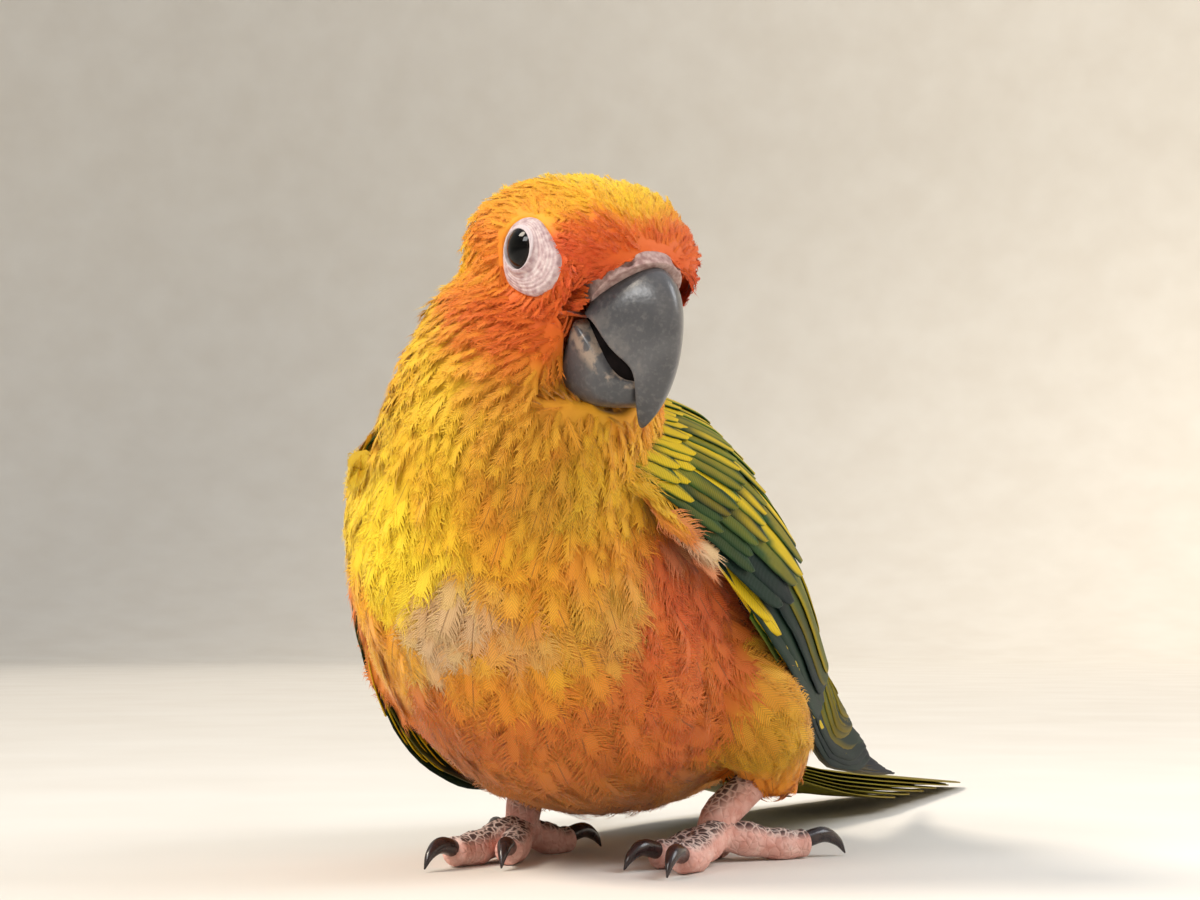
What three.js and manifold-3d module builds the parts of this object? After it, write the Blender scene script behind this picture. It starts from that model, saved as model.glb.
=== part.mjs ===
// A life-size sun conure, crouched on a floor with its head turned over its left shoulder.
// Millimetres, +Z up. The bird faces -Y and its left side is +X. The finished group is moved so
// that its origin lies on the floor, under the middle of its bounding box.
import * as THREE from "three";
import { mergeVertices } from "three/addons/utils/BufferGeometryUtils.js";
import Module from "manifold-3d";

const wasm = await Module();
wasm.setup();

// Driving dimensions
const GAP = 0.3; // left between pieces that lie face to face
const BODY_SIDES = 22; // points round a body section
const EYE_RADIUS = 4.3;
const EYE_OPENING = 3.15; // radius of the opening between the lids
const EYE_SPREAD = 9.2; // eyeball centre to the head's middle plane
const RING_RADIUS = 5.3; // bare skin round the eye
const RING_SIDES = 16;
const RING_STRETCH = 1.28; // how much longer the bare skin is towards the bill
const BILL_HALF_WIDTH = 6.3;
const VANE_THICK = 0.55;
const VANE_RISE = 0.9; // how much higher a vane lies than the one it overlaps
const VANE_SWEEP = 0.3; // how far a vane's edges trail its shaft, as a share of its half-width
const FEATHER_SPACING = 9.4; // between neighbours of one tier, across the wing
const VANE_ROOT = 0.4; // height of a vane's root over the bed, inside the arm
const WING_TUCK = 2.4; // how much closer the front of the right wing lies, under the breast
const LEFT_SPREAD = 3.4; // how far the left wing stands off the body's side, at its middle
const SPREAD_FROM = -40; // where along the spine the spread starts, and how soon it is full
const SPREAD_RISE = 24;
const SPREAD_TO = 124;
const SPREAD_FALL = 70;
const SPREAD_SHARE = 0.4; // the wing's lower edge stays on the body, this share of its height up it stands off
const WING_HANG = 0.7; // share of the trunk's inward curve that a hanging wing follows
const WING_TIP_AT = 112; // along the spine from the middle of the trunk
const TAIL_ROOT_AT = 50;
const TAIL_LENGTH = 132;
const TAIL_PAIRS = 4;
const TAIL_DROOP = 0.12; // how far a tail feather's edges hang, as a share of its half-width
const TAIL_ROOT = [
  { at: 46, wide: 8, high: 4.6 },
  { at: 54, wide: 9, high: 4.8 },
  { at: 64, wide: 8.4, high: 3.6 },
  { at: 76, wide: 7.4, high: 2.4 },
  { at: 86, wide: 6, high: 1.6 },
];
const FLOOR_SLICE = 40; // depth of the block that trims the soles flat

const COLOURS = {
  yellow: 0xf2b90c,
  orange: 0xee7a1a,
  green: 0x47702f,
  slate: 0x2c3550,
  horn: 0x55555a,
  claw: 0x2b2326,
  skin: 0xd9b6ae,
  ring: 0xe8dcd9,
  eye: 0x15110f,
};
const FINISH = {
  yellow: 0.85,
  orange: 0.85,
  green: 0.6,
  slate: 0.55,
  horn: 0.35,
  claw: 0.25,
  skin: 0.65,
  ring: 0.7,
  eye: 0.05,
};

// Where the spine runs, from the front of the breast to the tip of the tail
const SPINE = [
  { at: -48, x: 0, y: -42.5, z: 58 },
  { at: -20, x: 0, y: -17.7, z: 45.4 },
  { at: 0, x: 0, y: 0, z: 36 },
  { at: 25, x: 0, y: 22.5, z: 25.2 },
  { at: 45, x: 0.5, y: 41.5, z: 18 },
  { at: 65, x: 2, y: 60.8, z: 12.2 },
  { at: 90, x: 4.4, y: 85.2, z: 7.4 },
  { at: 115, x: 6.8, y: 110, z: 4.6 },
  { at: 135, x: 8.8, y: 130, z: 2.8 },
  { at: 185, x: 13.8, y: 180, z: -1.7 },
];

// Half-width, height above the spine and depth below it
const TRUNK = [
  { at: -44, wide: 13, above: 11, below: 14 },
  { at: -34, wide: 20, above: 18.4, below: 21 },
  { at: -20, wide: 24.8, above: 23.6, below: 27 },
  { at: -4, wide: 26.4, above: 25.4, below: 29 },
  { at: 12, wide: 25.2, above: 23.4, below: 26.5 },
  { at: 28, wide: 20.8, above: 18.6, below: 20 },
  { at: 42, wide: 15, above: 12.2, below: 13.5 },
  { at: 54, wide: 10.6, above: 7.4, below: 8 },
];

const TRUNK_ENDS = [-48, 57];

// The surface that the folded wings lie on
const WING_BED = [
  { at: -44, wide: 15, above: 12 },
  { at: -34, wide: 21.4, above: 19.2 },
  { at: -20, wide: 26.2, above: 24.6 },
  { at: -4, wide: 28.3, above: 27 },
  { at: 12, wide: 28.2, above: 25 },
  { at: 28, wide: 26, above: 21.4 },
  { at: 45, wide: 22.6, above: 15.2 },
  { at: 65, wide: 19, above: 11 },
  { at: 90, wide: 15.6, above: 8 },
  { at: 115, wide: 12, above: 6.6 },
];

const NECK = [
  { at: 0, x: 0.5, y: -17, z: 42, radius: 19.5 },
  { at: 1, x: 2, y: -24, z: 52, radius: 20.2 },
  { at: 2, x: 5.5, y: -27.5, z: 61.5, radius: 19 },
  { at: 3, x: 8.8, y: -28, z: 70, radius: 17.2 },
  { at: 4, x: 11, y: -27, z: 77.5, radius: 14.2 },
];

// The head in its own frame: forward is -y, up is z, and the eyes lie on y = 0, z = 0
const HEAD_PLACE = { x: 19.7, y: -33.8, z: 83.1 };
const HEAD_TURN = { yaw: 58, pitch: 17.5, roll: -3 };
const HEAD = [
  { at: -19, wide: 8.4, above: 3, below: 10, lean: 0 },
  { at: -15.5, wide: 10.6, above: 6.4, below: 13.5, lean: 0 },
  { at: -10, wide: 12.2, above: 8.9, below: 16, lean: 0 },
  { at: -3, wide: 12.5, above: 9.8, below: 17.6, lean: 0 },
  { at: 3, wide: 12.2, above: 9.7, below: 18, lean: 0.12 },
  { at: 7.5, wide: 11, above: 8, below: 16.6, lean: 0.42 },
  { at: 10.5, wide: 9.4, above: 5.6, below: 14, lean: 0.58 },
  { at: 13.5, wide: 7.4, above: 3.2, below: 11, lean: 0.62 },
];

const HEAD_ENDS = [-21, 13.6];

// Each bill section is named by its ridge and edge points, as forward and up distances
const UPPER_BILL = [
  { ridge: [8.5, 0], edge: [5.4, -7.2], wide: 1.0 },
  { ridge: [11.5, 0.3], edge: [8.6, -7.4], wide: 1.0 },
  { ridge: [13.6, 0.4], edge: [11, -8.9], wide: 1.0 },
  { ridge: [15.9, -0.7], edge: [12.4, -10.7], wide: 0.85 },
  { ridge: [17.9, -3], edge: [13.5, -11.6], wide: 0.68 },
  { ridge: [19.2, -6.6], edge: [15, -12.6], wide: 0.5 },
  { ridge: [19.4, -10.4], edge: [15.2, -14.8], wide: 0.42 },
  { ridge: [18.4, -14.2], edge: [15.1, -17], wide: 0.33 },
  { ridge: [17.2, -17.4], edge: [14.6, -19.2], wide: 0.16 },
  { ridge: [14.7, -20.3], edge: [14.2, -20.1], wide: 0.05 },
];
const LOWER_BILL = [
  { ridge: [4.4, -6.6], edge: [1.5, -16.8], wide: 1.12 },
  { ridge: [8, -8.3], edge: [4.5, -18.4], wide: 1.08 },
  { ridge: [10.6, -10.4], edge: [7.6, -18.8], wide: 0.98 },
  { ridge: [12, -12.5], edge: [10, -18.5], wide: 0.82 },
  { ridge: [13.1, -13.7], edge: [12, -18], wide: 0.64 },
  { ridge: [14.2, -13.9], edge: [13.5, -17.4], wide: 0.47 },
];
const CERE = [
  { forward: 4.8, proud: 0.5 },
  { forward: 6.2, proud: 0.9 },
  { forward: 7.8, proud: 0.8 },
  { forward: 9.1, proud: 0.35 },
];
const CERE_MIDDLE = -4; // height of the middle of the band
const CERE_LEAN = { forward: 0.68, up: 0.73 }; // the band leans forward over the bill
const CERE_ABOVE = 6.4;
const CERE_BELOW = 3.6;
const UPPER_KEEL = 0.2; // share of a section's height that lies below its widest line
const LOWER_KEEL = 0.78;

// Each foot: where the toes meet, where the shank leaves the thigh, and the heading of the toes
const FEET = {
  left: {
    side: 1,
    foot: [19, 12, 4.4],
    heel: [23.2, 20.5, 12.5],
    thigh: [
      [18, 4, 31, 9.5],
      [23.5, 13, 22.5, 9.2],
      [25, 19.5, 15, 7.2],
      [24, 21.5, 9.6, 4.2],
    ],
    heading: -8,
  },
  right: {
    side: -1,
    foot: [-11, 8, 4.4],
    heel: [-14, 17.5, 12.5],
    thigh: [
      [-13, 4, 31, 9],
      [-15, 12, 22.5, 7.6],
      [-15.4, 17.5, 15, 6.2],
      [-14.6, 18.8, 9.6, 4.2],
    ],
    heading: 4,
  },
};
// Toes by name: heading off the foot's own, outward positive, reach and thickness
const TOES = {
  inner_front: { heading: -13, reach: 13.5, radius: 2.3, pads: 2 },
  outer_front: { heading: 12, reach: 18.5, radius: 2.45, pads: 3 },
  inner_back: { heading: -152, reach: 10, radius: 2.2, pads: 2 },
  outer_back: { heading: 146, reach: 15.5, radius: 2.35, pads: 3 },
};
const CLAW_REACH = 6.2;
const CLAW_RADIUS = 1.25;

const radians = THREE.MathUtils.degToRad;
const clamp = THREE.MathUtils.clamp;
const mix = THREE.MathUtils.lerp;

// A smooth curve through named stations, read at any place between them
function read(stations, key, at) {
  const last = stations.length - 1;
  let i = 0;
  while (i < last - 1 && at > stations[i + 1].at) i += 1;
  const slope = (k) => {
    const before = stations[Math.max(k - 1, 0)];
    const after = stations[Math.min(k + 1, last)];
    return (after[key] - before[key]) / (after.at - before.at);
  };
  const from = stations[i];
  const to = stations[i + 1];
  const span = to.at - from.at;
  const t = clamp((at - from.at) / span, 0, 1);
  const keepFrom = (1 + 2 * t) * (1 - t) ** 2;
  const keepTo = t * t * (3 - 2 * t);
  const lean = t * (1 - t) ** 2 * slope(i) - t * t * (1 - t) * slope(i + 1);
  return keepFrom * from[key] + keepTo * to[key] + span * lean;
}

// A closed body through rings of points, its two ends closed with fans
function loft(rings) {
  const sides = rings[0].length;
  const points = rings.flat();
  const index = [];
  for (let r = 0; r + 1 < rings.length; r += 1) {
    for (let k = 0; k < sides; k += 1) {
      const a = r * sides + k;
      const b = r * sides + ((k + 1) % sides);
      index.push(a, b, a + sides, b, b + sides, a + sides);
    }
  }
  for (const end of [0, rings.length - 1]) {
    const middle = new THREE.Vector3();
    rings[end].forEach((p) => middle.add(p));
    points.push(middle.divideScalar(sides));
    for (let k = 0; k < sides; k += 1) {
      const a = end * sides + k;
      const b = end * sides + ((k + 1) % sides);
      if (end === 0) index.push(points.length - 1, b, a);
      else index.push(points.length - 1, a, b);
    }
  }
  return closed(points, index);
}

// A closed slab between two grids of points, both faces split into triangles alike
function slab(top, bottom) {
  const rows = top.length;
  const columns = top[0].length;
  const points = [...top.flat(), ...bottom.flat()];
  const under = rows * columns;
  const index = [];
  const quad = (a, b, c, d) => index.push(a, b, c, a, c, d);
  for (let r = 0; r + 1 < rows; r += 1) {
    for (let c = 0; c + 1 < columns; c += 1) {
      const a = r * columns + c;
      const [b, d, e] = [a + 1, a + columns + 1, a + columns];
      quad(a, b, d, e);
      index.push(under + a, under + d, under + b, under + a, under + e, under + d);
    }
  }
  const rim = [];
  for (let c = 0; c < columns; c += 1) rim.push(c);
  for (let r = 1; r < rows; r += 1) rim.push(r * columns + columns - 1);
  for (let c = columns - 2; c >= 0; c -= 1) rim.push((rows - 1) * columns + c);
  for (let r = rows - 2; r > 0; r -= 1) rim.push(r * columns);
  rim.forEach((a, k) => {
    const b = rim[(k + 1) % rim.length];
    quad(a, under + a, under + b, b);
  });
  return closed(points, index);
}

// A solid from points and triangles, turned to face outwards
function closed(points, index) {
  const shape = new THREE.BufferGeometry().setFromPoints(points).setIndex(index);
  let volume = 0;
  for (let i = 0; i < index.length; i += 3) {
    const [a, b, c] = [points[index[i]], points[index[i + 1]], points[index[i + 2]]];
    volume += a.dot(new THREE.Vector3().crossVectors(b, c));
  }
  if (volume < 0) {
    for (let i = 0; i < index.length; i += 3) {
      [index[i + 1], index[i + 2]] = [index[i + 2], index[i + 1]];
    }
    shape.setIndex(index);
  }
  return solid(shape);
}

// A three.js geometry as a solid that can be joined and cut
function solid(geometry) {
  const bare = geometry.index ? geometry.toNonIndexed() : geometry.clone();
  bare.deleteAttribute("normal");
  bare.deleteAttribute("uv");
  const merged = mergeVertices(bare, 1e-4);
  return new wasm.Manifold(
    new wasm.Mesh({
      numProp: 3,
      vertProperties: merged.attributes.position.array,
      triVerts: new Uint32Array(merged.index.array),
    }),
  );
}

const joined = (solids) => solids.reduce((sum, next) => sum.add(next));
const without = (body, ...cutters) => cutters.reduce((rest, cutter) => rest.subtract(cutter), body);

// The largest closed surface of a solid
const largest = (body) => body.decompose().sort((a, b) => b.volume() - a.volume())[0];

// The points and triangles of a solid as a three.js geometry
function shapeOf(body) {
  const mesh = body.getMesh();
  const shape = new THREE.BufferGeometry();
  shape.setAttribute("position", new THREE.BufferAttribute(new Float32Array(mesh.vertProperties), 3));
  shape.setIndex(new THREE.BufferAttribute(new Uint32Array(mesh.triVerts), 1));
  return shape;
}

// A named mesh; points that fall together are merged, and crumbs this splits off are dropped
function piece(name, body, finish) {
  const shape = shapeOf(largest(solid(shapeOf(largest(body)))));
  shape.computeVertexNormals();
  const material = new THREE.MeshStandardMaterial({
    color: COLOURS[finish],
    roughness: FINISH[finish],
    metalness: 0,
  });
  const made = new THREE.Mesh(shape, material);
  made.name = name;
  return made;
}

// A point on the spine, with the direction towards the tail and the direction of the back
function spine(at) {
  const place = (s) => new THREE.Vector3(...["x", "y", "z"].map((key) => read(SPINE, key, s)));
  const point = place(at);
  const tail = place(at + 1).sub(place(at - 1)).normalize();
  const back = new THREE.Vector3(0, -tail.z, tail.y).normalize();
  return { point, tail, back };
}

// Shrinks a section to nothing over a distance from each end, as a rounded end does
function roundedEnd(at, first, last, nose, heel) {
  const front = clamp((at - first) / nose, 0, 1);
  const rear = clamp((last - at) / heel, 0, 1);
  return Math.sqrt(1 - (1 - front) ** 2) * Math.sqrt(1 - (1 - rear) ** 2);
}

// Places along a body, closer together at its ends
function spread(first, last, count) {
  const places = [];
  for (let i = 0; i < count; i += 1) {
    const even = i / (count - 1);
    const eased = (1 - Math.cos(Math.PI * even)) / 2;
    places.push(mix(first, last, mix(even, eased, 0.6)));
  }
  return places;
}

// Moves a place outwards by the growth, most at the two ends of a body
function pushed(at, first, last, grow) {
  return at + grow * mix(-1, 1, (at - first) / (last - first));
}

function trunk(grow) {
  const [first, last] = TRUNK_ENDS;
  const rings = spread(first + 0.05, last - 0.05, 16).map((at) => {
    const { point, back } = spine(pushed(at, first, last, grow));
    const share = roundedEnd(at, first, last, 14, 7);
    const wide = read(TRUNK, "wide", at) * share + grow;
    const above = read(TRUNK, "above", at) * share + grow;
    const below = read(TRUNK, "below", at) * share + grow;
    return section(point, new THREE.Vector3(1, 0, 0), back, wide, above, below);
  });
  return loft(rings);
}

// A ring of points, each made from its sideways and upward share
function oval(sides, pointAt) {
  const ring = [];
  for (let k = 0; k < sides; k += 1) {
    const turn = (k / sides) * 2 * Math.PI;
    ring.push(pointAt(Math.cos(turn), Math.sin(turn)));
  }
  return ring;
}

// One ring of a body: an oval with its own height above and below the middle
function section(middle, across, up, wide, above, below, sides = BODY_SIDES) {
  return oval(sides, (side, high) =>
    middle
      .clone()
      .addScaledVector(across, side * wide)
      .addScaledVector(up, high * (high > 0 ? above : below)),
  );
}

function neck(grow) {
  const rings = [];
  const count = 7;
  for (let i = 0; i < count; i += 1) {
    const at = (i / (count - 1)) * 4;
    const place = (t) =>
      new THREE.Vector3(read(NECK, "x", t), read(NECK, "y", t), read(NECK, "z", t));
    const along = place(Math.min(at + 0.1, 4)).sub(place(Math.max(at - 0.1, 0))).normalize();
    const across = new THREE.Vector3(1, 0, 0).addScaledVector(along, -along.x).normalize();
    const up = new THREE.Vector3().crossVectors(across, along).normalize();
    const radius = read(NECK, "radius", at) + grow;
    rings.push(section(place(at), across, up, radius, radius, radius));
  }
  return loft(rings);
}

// The head's own frame, and points given in it as left, forward and up
const headFrame = new THREE.Matrix4()
  .makeRotationFromEuler(
    new THREE.Euler(
      radians(HEAD_TURN.pitch),
      radians(HEAD_TURN.roll),
      radians(HEAD_TURN.yaw),
      "ZXY",
    ),
  )
  .setPosition(HEAD_PLACE.x, HEAD_PLACE.y, HEAD_PLACE.z);
const onHead = (left, forward, up) =>
  new THREE.Vector3(left, -forward, up).applyMatrix4(headFrame);
const headWay = (left, forward, up) =>
  new THREE.Vector3(left, -forward, up).transformDirection(headFrame);

// Below the eyes the face slopes back, so the lower half of each section leans away from the bill
function headCore(grow) {
  const [first, last] = HEAD_ENDS;
  const rings = spread(first + 0.05, last - 0.05, 14).map((at) => {
    const share = roundedEnd(at, first, last, 6, 4);
    const above = read(HEAD, "above", at) * share;
    const below = read(HEAD, "below", at) * share;
    const wide = read(HEAD, "wide", at) * share + grow;
    const lean = read(HEAD, "lean", at);
    return oval(BODY_SIDES, (across, high) => {
      const rise = high * (high > 0 ? above : below);
      const forward = pushed(at, first, last, grow) + Math.min(rise, 0) * lean;
      return onHead(across * wide, forward, rise + high * grow);
    });
  });
  return loft(rings);
}

// A bill half: each section stands on its ridge and edge points and is widest near its cutting edge
function billHalf(stations, grow, keel) {
  const sides = 14;
  const rings = stations.map((station) => {
    const [ridgeForward, ridgeUp] = station.ridge;
    const [edgeForward, edgeUp] = station.edge;
    const height = Math.hypot(ridgeForward - edgeForward, ridgeUp - edgeUp);
    const upForward = (ridgeForward - edgeForward) / height;
    const upUp = (ridgeUp - edgeUp) / height;
    const middle = onHead(0, edgeForward + upForward * height * keel, edgeUp + upUp * height * keel);
    const wide = BILL_HALF_WIDTH * station.wide + grow;
    const above = height * (1 - keel) + grow;
    const below = height * keel + grow;
    return section(middle, headWay(1, 0, 0), headWay(0, upForward, upUp), wide, above, below, sides);
  });
  return loft(rings);
}

// The band of bare skin at the root of the bill
function cereBand(grow) {
  const sides = 16;
  const rings = CERE.map((band) => {
    const proud = band.proud + grow;
    const wide = BILL_HALF_WIDTH + proud;
    const middle = onHead(0, band.forward, CERE_MIDDLE);
    const up = headWay(0, CERE_LEAN.forward, CERE_LEAN.up);
    return section(middle, headWay(1, 0, 0), up, wide, CERE_ABOVE + proud, CERE_BELOW + proud, sides);
  });
  return loft(rings);
}

function nostril(side) {
  const pit = new THREE.SphereGeometry(0.75, 10, 8);
  const place = onHead(side * 3.9, 10.6, 1.7);
  pit.translate(place.x, place.y, place.z);
  return solid(pit);
}

// The eye looks out sideways and a little forward
const eyeWay = (side) => headWay(side, 0.08, 0.06).normalize();
const eyeMiddle = (side) => onHead(side * EYE_SPREAD, 0, 0);

function eyeBall(side, grow) {
  const ball = new THREE.SphereGeometry(EYE_RADIUS + grow, 14, 8);
  const turn = new THREE.Quaternion().setFromUnitVectors(new THREE.Vector3(0, 1, 0), eyeWay(side));
  ball.applyQuaternion(turn);
  const place = eyeMiddle(side);
  ball.translate(place.x, place.y, place.z);
  return solid(ball);
}

// Lids and bare skin: a shallow turned ring round the eye, drawn out a little towards the bill
function eyeRing(side, grow) {
  const lidHeight = Math.sqrt(EYE_RADIUS ** 2 - EYE_OPENING ** 2);
  const profile = [
    [EYE_OPENING - grow, lidHeight - 1.6 - grow],
    [EYE_OPENING - grow, lidHeight + 0.35],
    [EYE_OPENING + 0.35, lidHeight + 0.75 + grow],
    [EYE_OPENING + 1.0, lidHeight + 0.45 + grow],
    [RING_RADIUS - 0.5, lidHeight - 0.3 + grow],
    [RING_RADIUS + grow, lidHeight - 1.0 + grow],
    [RING_RADIUS + grow, lidHeight - 2.4 - grow],
    [EYE_OPENING - grow, lidHeight - 1.6 - grow],
  ];
  const shape = new THREE.LatheGeometry(
    profile.map(([r, h]) => new THREE.Vector2(r, h)),
    RING_SIDES,
  );
  return seatedRing(side, shape);
}

// The room the lids sit in, cut from the head
function eyeSocket(side) {
  const lidHeight = Math.sqrt(EYE_RADIUS ** 2 - EYE_OPENING ** 2);
  const rim = RING_RADIUS + GAP;
  const foot = lidHeight - 2.4 - GAP;
  const profile = [
    [0, foot],
    [rim, foot],
    [rim, lidHeight + 4],
    [0, lidHeight + 4],
  ];
  const shape = new THREE.LatheGeometry(
    profile.map(([r, h]) => new THREE.Vector2(r, h)),
    RING_SIDES,
  );
  return seatedRing(side, shape);
}

// Stands a turned shape on the eye's axis and draws it out towards the bill
function seatedRing(side, shape) {
  const up = eyeWay(side);
  const toBill = headWay(0, 1, -0.25);
  toBill.addScaledVector(up, -toBill.dot(up)).normalize();
  const third = new THREE.Vector3().crossVectors(up, toBill);
  const basis = new THREE.Matrix4().makeBasis(toBill, up, third.negate());
  const position = shape.getAttribute("position");
  for (let i = 0; i < position.count; i += 1) {
    const forward = position.getX(i);
    if (forward > 0) position.setX(i, forward * RING_STRETCH);
  }
  shape.applyMatrix4(basis.setPosition(eyeMiddle(side)));
  const body = solid(shape);
  return body.volume() < 0 ? solid(turnedOut(shape)) : body;
}

// The same triangles, each facing the other way
function turnedOut(shape) {
  const order = Array.from(shape.index.array);
  for (let i = 0; i < order.length; i += 3) {
    [order[i + 1], order[i + 2]] = [order[i + 2], order[i + 1]];
  }
  return shape.clone().setIndex(order);
}

// The lower and upper edge of a folded wing, as angles round the spine from the side to the back
const WING_EDGES = {
  left: [
    { at: -36, low: 8, high: 62 },
    { at: -20, low: 2, high: 74 },
    { at: 0, low: 0, high: 78 },
    { at: 30, low: 1, high: 77 },
    { at: 55, low: 4, high: 66 },
    { at: 85, low: 10, high: 42 },
    { at: 115, low: 16, high: 27 },
  ],
  right: [
    { at: -36, low: 4, high: 62 },
    { at: -20, low: -14, high: 74 },
    { at: 0, low: -38, high: 78 },
    { at: 22, low: -50, high: 77 },
    { at: 50, low: -36, high: 66 },
    { at: 85, low: -8, high: 42 },
    { at: 115, low: 12, high: 27 },
  ],
};

// The left wing is held a little away from the body, most between its elbow and its wrist
function spreadOff(side, at, share) {
  if (side < 0) return 0;
  const start = clamp((at - SPREAD_FROM) / SPREAD_RISE, 0, 1);
  const end = clamp((SPREAD_TO - at) / SPREAD_FALL, 0, 1);
  return LEFT_SPREAD * start * end * THREE.MathUtils.smoothstep(share, 0, SPREAD_SHARE);
}

// A point on the bed of a folded wing: along the spine, as a share of the way from the wing's
// lower edge to its upper edge, and outwards. Below the middle of the trunk a wing hangs straighter.
function onWing(side, at, share, out) {
  const { point, back } = spine(at);
  const edges = side > 0 ? WING_EDGES.left : WING_EDGES.right;
  const turn = radians(mix(read(edges, "low", at), read(edges, "high", at), share));
  const front = clamp((12 - at) / 40, 0, 1);
  const tucked = side > 0 ? 0 : WING_TUCK * front;
  const lift = out * mix(1, side > 0 ? 0.75 : 0.5, front) + spreadOff(side, at, share);
  const wide = read(WING_BED, "wide", at) - tucked + lift;
  const above = read(WING_BED, "above", at) + lift;
  return point
    .clone()
    .add(new THREE.Vector3(side * wide * Math.cos(turn < 0 ? turn * WING_HANG : turn), 0, 0))
    .addScaledVector(back, above * Math.sin(turn));
}

// The length of the wing's curve from its lower to its upper edge
function wingArc(side, at) {
  const edges = side > 0 ? WING_EDGES.left : WING_EDGES.right;
  return radians(read(edges, "high", at) - read(edges, "low", at)) * read(WING_BED, "above", at);
}

// How wide a vane is along its length, as a share of its full width
function vaneShare(t, tipFrom) {
  const root = mix(0.55, 1, Math.min(1, t / 0.35));
  if (t < tipFrom) return root;
  const left = (t - tipFrom) / (1 - tipFrom);
  return root * mix(1, Math.sqrt(Math.max(0, 1 - left * left)), 0.86);
}

// Steps along a vane, closer together towards its rounded tip
function vaneSteps(count, tipFrom) {
  const steps = [];
  for (let i = 0; i < count - 2; i += 1) steps.push((i / (count - 2)) * tipFrom);
  return [...steps, tipFrom, mix(tipFrom, 1, 0.66), 1];
}

// A wing feather on the bed, from root to tip, its lower edge lifted over the feather below it
function wingVane(side, vane) {
  const top = [];
  const bottom = [];
  for (const t of vaneSteps(vane.steps, vane.tipFrom)) {
    const at = mix(vane.root[0], vane.tip[0], t);
    const share = mix(vane.root[1], vane.tip[1], t);
    const half = (vane.width / 2) * vaneShare(t, vane.tipFrom);
    const topRow = [];
    const bottomRow = [];
    for (const across of [-1, 1]) {
      const swept = at - half * VANE_SWEEP * t;
      const placed = share + (across * half) / Math.max(wingArc(side, swept), 14);
      const lift = mix(VANE_ROOT, vane.out, t) - (VANE_RISE * across * half) / vane.spacing;
      topRow.push(onWing(side, swept, placed, lift + VANE_THICK));
      bottomRow.push(onWing(side, swept, placed, lift));
    }
    top.push(topRow);
    bottom.push(bottomRow);
  }
  return slab(top, bottom);
}

// A tier of feathers, evenly placed from the lower edge of the wing to the upper
function tier(side, row) {
  const { from, to } = row;
  const middle = (from.root[0] + from.tip[0]) / 2;
  const arc = wingArc(side, middle) * (to.root[1] - from.root[1]);
  const count = row.count ?? Math.round(arc / FEATHER_SPACING) + 1;
  const spacing = row.spacing ?? arc / (count - 1);
  const vanes = [];
  for (let i = 0; i < count; i += 1) {
    const t = i / (count - 1);
    const ragged = Math.sin(i * 2.4) * row.ragged;
    vanes.push(
      wingVane(side, {
        ...row,
        spacing,
        width: spacing * row.lap,
        root: [mix(from.root[0], to.root[0], t), mix(from.root[1], to.root[1], t)],
        tip: [mix(from.tip[0], to.tip[0], t) + ragged, mix(from.tip[1], to.tip[1], t)],
      }),
    );
  }
  return vanes;
}

// The arm of a wing, under all its feathers
function wingArm(side) {
  const rows = spread(-35, 26, 8);
  const shares = [0.02, 0.25, 0.5, 0.75, 0.96];
  const swell = (at, share) => {
    const along = Math.sqrt(Math.max(0, 1 - ((at + 5) / 33) ** 2));
    return 1.1 + 0.9 * along * Math.sin(Math.PI * share);
  };
  return slab(
    rows.map((at) => shares.map((share) => onWing(side, at, share, swell(at, share)))),
    rows.map((at) => shares.map((share) => onWing(side, at, share, -spreadOff(side, at, share)))),
  );
}

// From the flight feathers outwards to the small coverts of the shoulder
const WING_TIERS = [
  {
    count: 4,
    spacing: 5.2,
    lap: 1.9,
    out: 1.3,
    tipFrom: 0.62,
    steps: 4,
    ragged: 0,
    from: { root: [-2, 0.02], tip: [WING_TIP_AT, 0.15] },
    to: { root: [8, 0.28], tip: [76, 0.4] },
  },
  {
    lap: 1.9,
    out: 3,
    tipFrom: 0.8,
    steps: 4,
    ragged: 1.2,
    from: { root: [2, 0.12], tip: [68, 0.22] },
    to: { root: [4, 0.85], tip: [48, 0.84] },
  },
  {
    lap: 1.85,
    out: 3.3,
    tipFrom: 0.76,
    steps: 4,
    ragged: 1.2,
    from: { root: [-14, 0.09], tip: [29, 0.1] },
    to: { root: [-12, 0.85], tip: [24, 0.86] },
  },
  {
    lap: 1.8,
    out: 3.4,
    tipFrom: 0.7,
    steps: 3,
    ragged: 1,
    from: { root: [-24, 0.09], tip: [5, 0.09] },
    to: { root: [-22, 0.85], tip: [2, 0.87] },
  },
  {
    lap: 1.8,
    out: 3.4,
    tipFrom: 0.64,
    steps: 3,
    ragged: 0.8,
    from: { root: [-33, 0.11], tip: [-11, 0.09] },
    to: { root: [-32, 0.84], tip: [-14, 0.87] },
  },
];

function wing(side) {
  return joined([wingArm(side), ...WING_TIERS.flatMap((row) => tier(side, row))]);
}

// A tail feather: a long thin vane that follows the spine down to the floor and along it
function tailVane(vane) {
  const top = [];
  const bottom = [];
  for (const t of vaneSteps(4, 0.7)) {
    const { point, back } = spine(mix(vane.from, vane.to, t));
    const settled = Math.min(1, t / 0.3);
    const sideways = mix(vane.rootSide, vane.tipSide, t);
    const high = mix(vane.rootOut, vane.out, settled);
    const half = (vane.width / 2) * vaneShare(t, 0.7);
    const topRow = [];
    const bottomRow = [];
    for (const across of [-1, 0, 1]) {
      const droop = Math.abs(across) * half * TAIL_DROOP;
      const place = point.clone().add(new THREE.Vector3(sideways + across * half, 0, 0));
      topRow.push(place.clone().addScaledVector(back, high - droop + VANE_THICK));
      bottomRow.push(place.clone().addScaledVector(back, high - droop));
    }
    top.push(topRow);
    bottom.push(bottomRow);
  }
  return slab(top, bottom);
}

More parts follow.
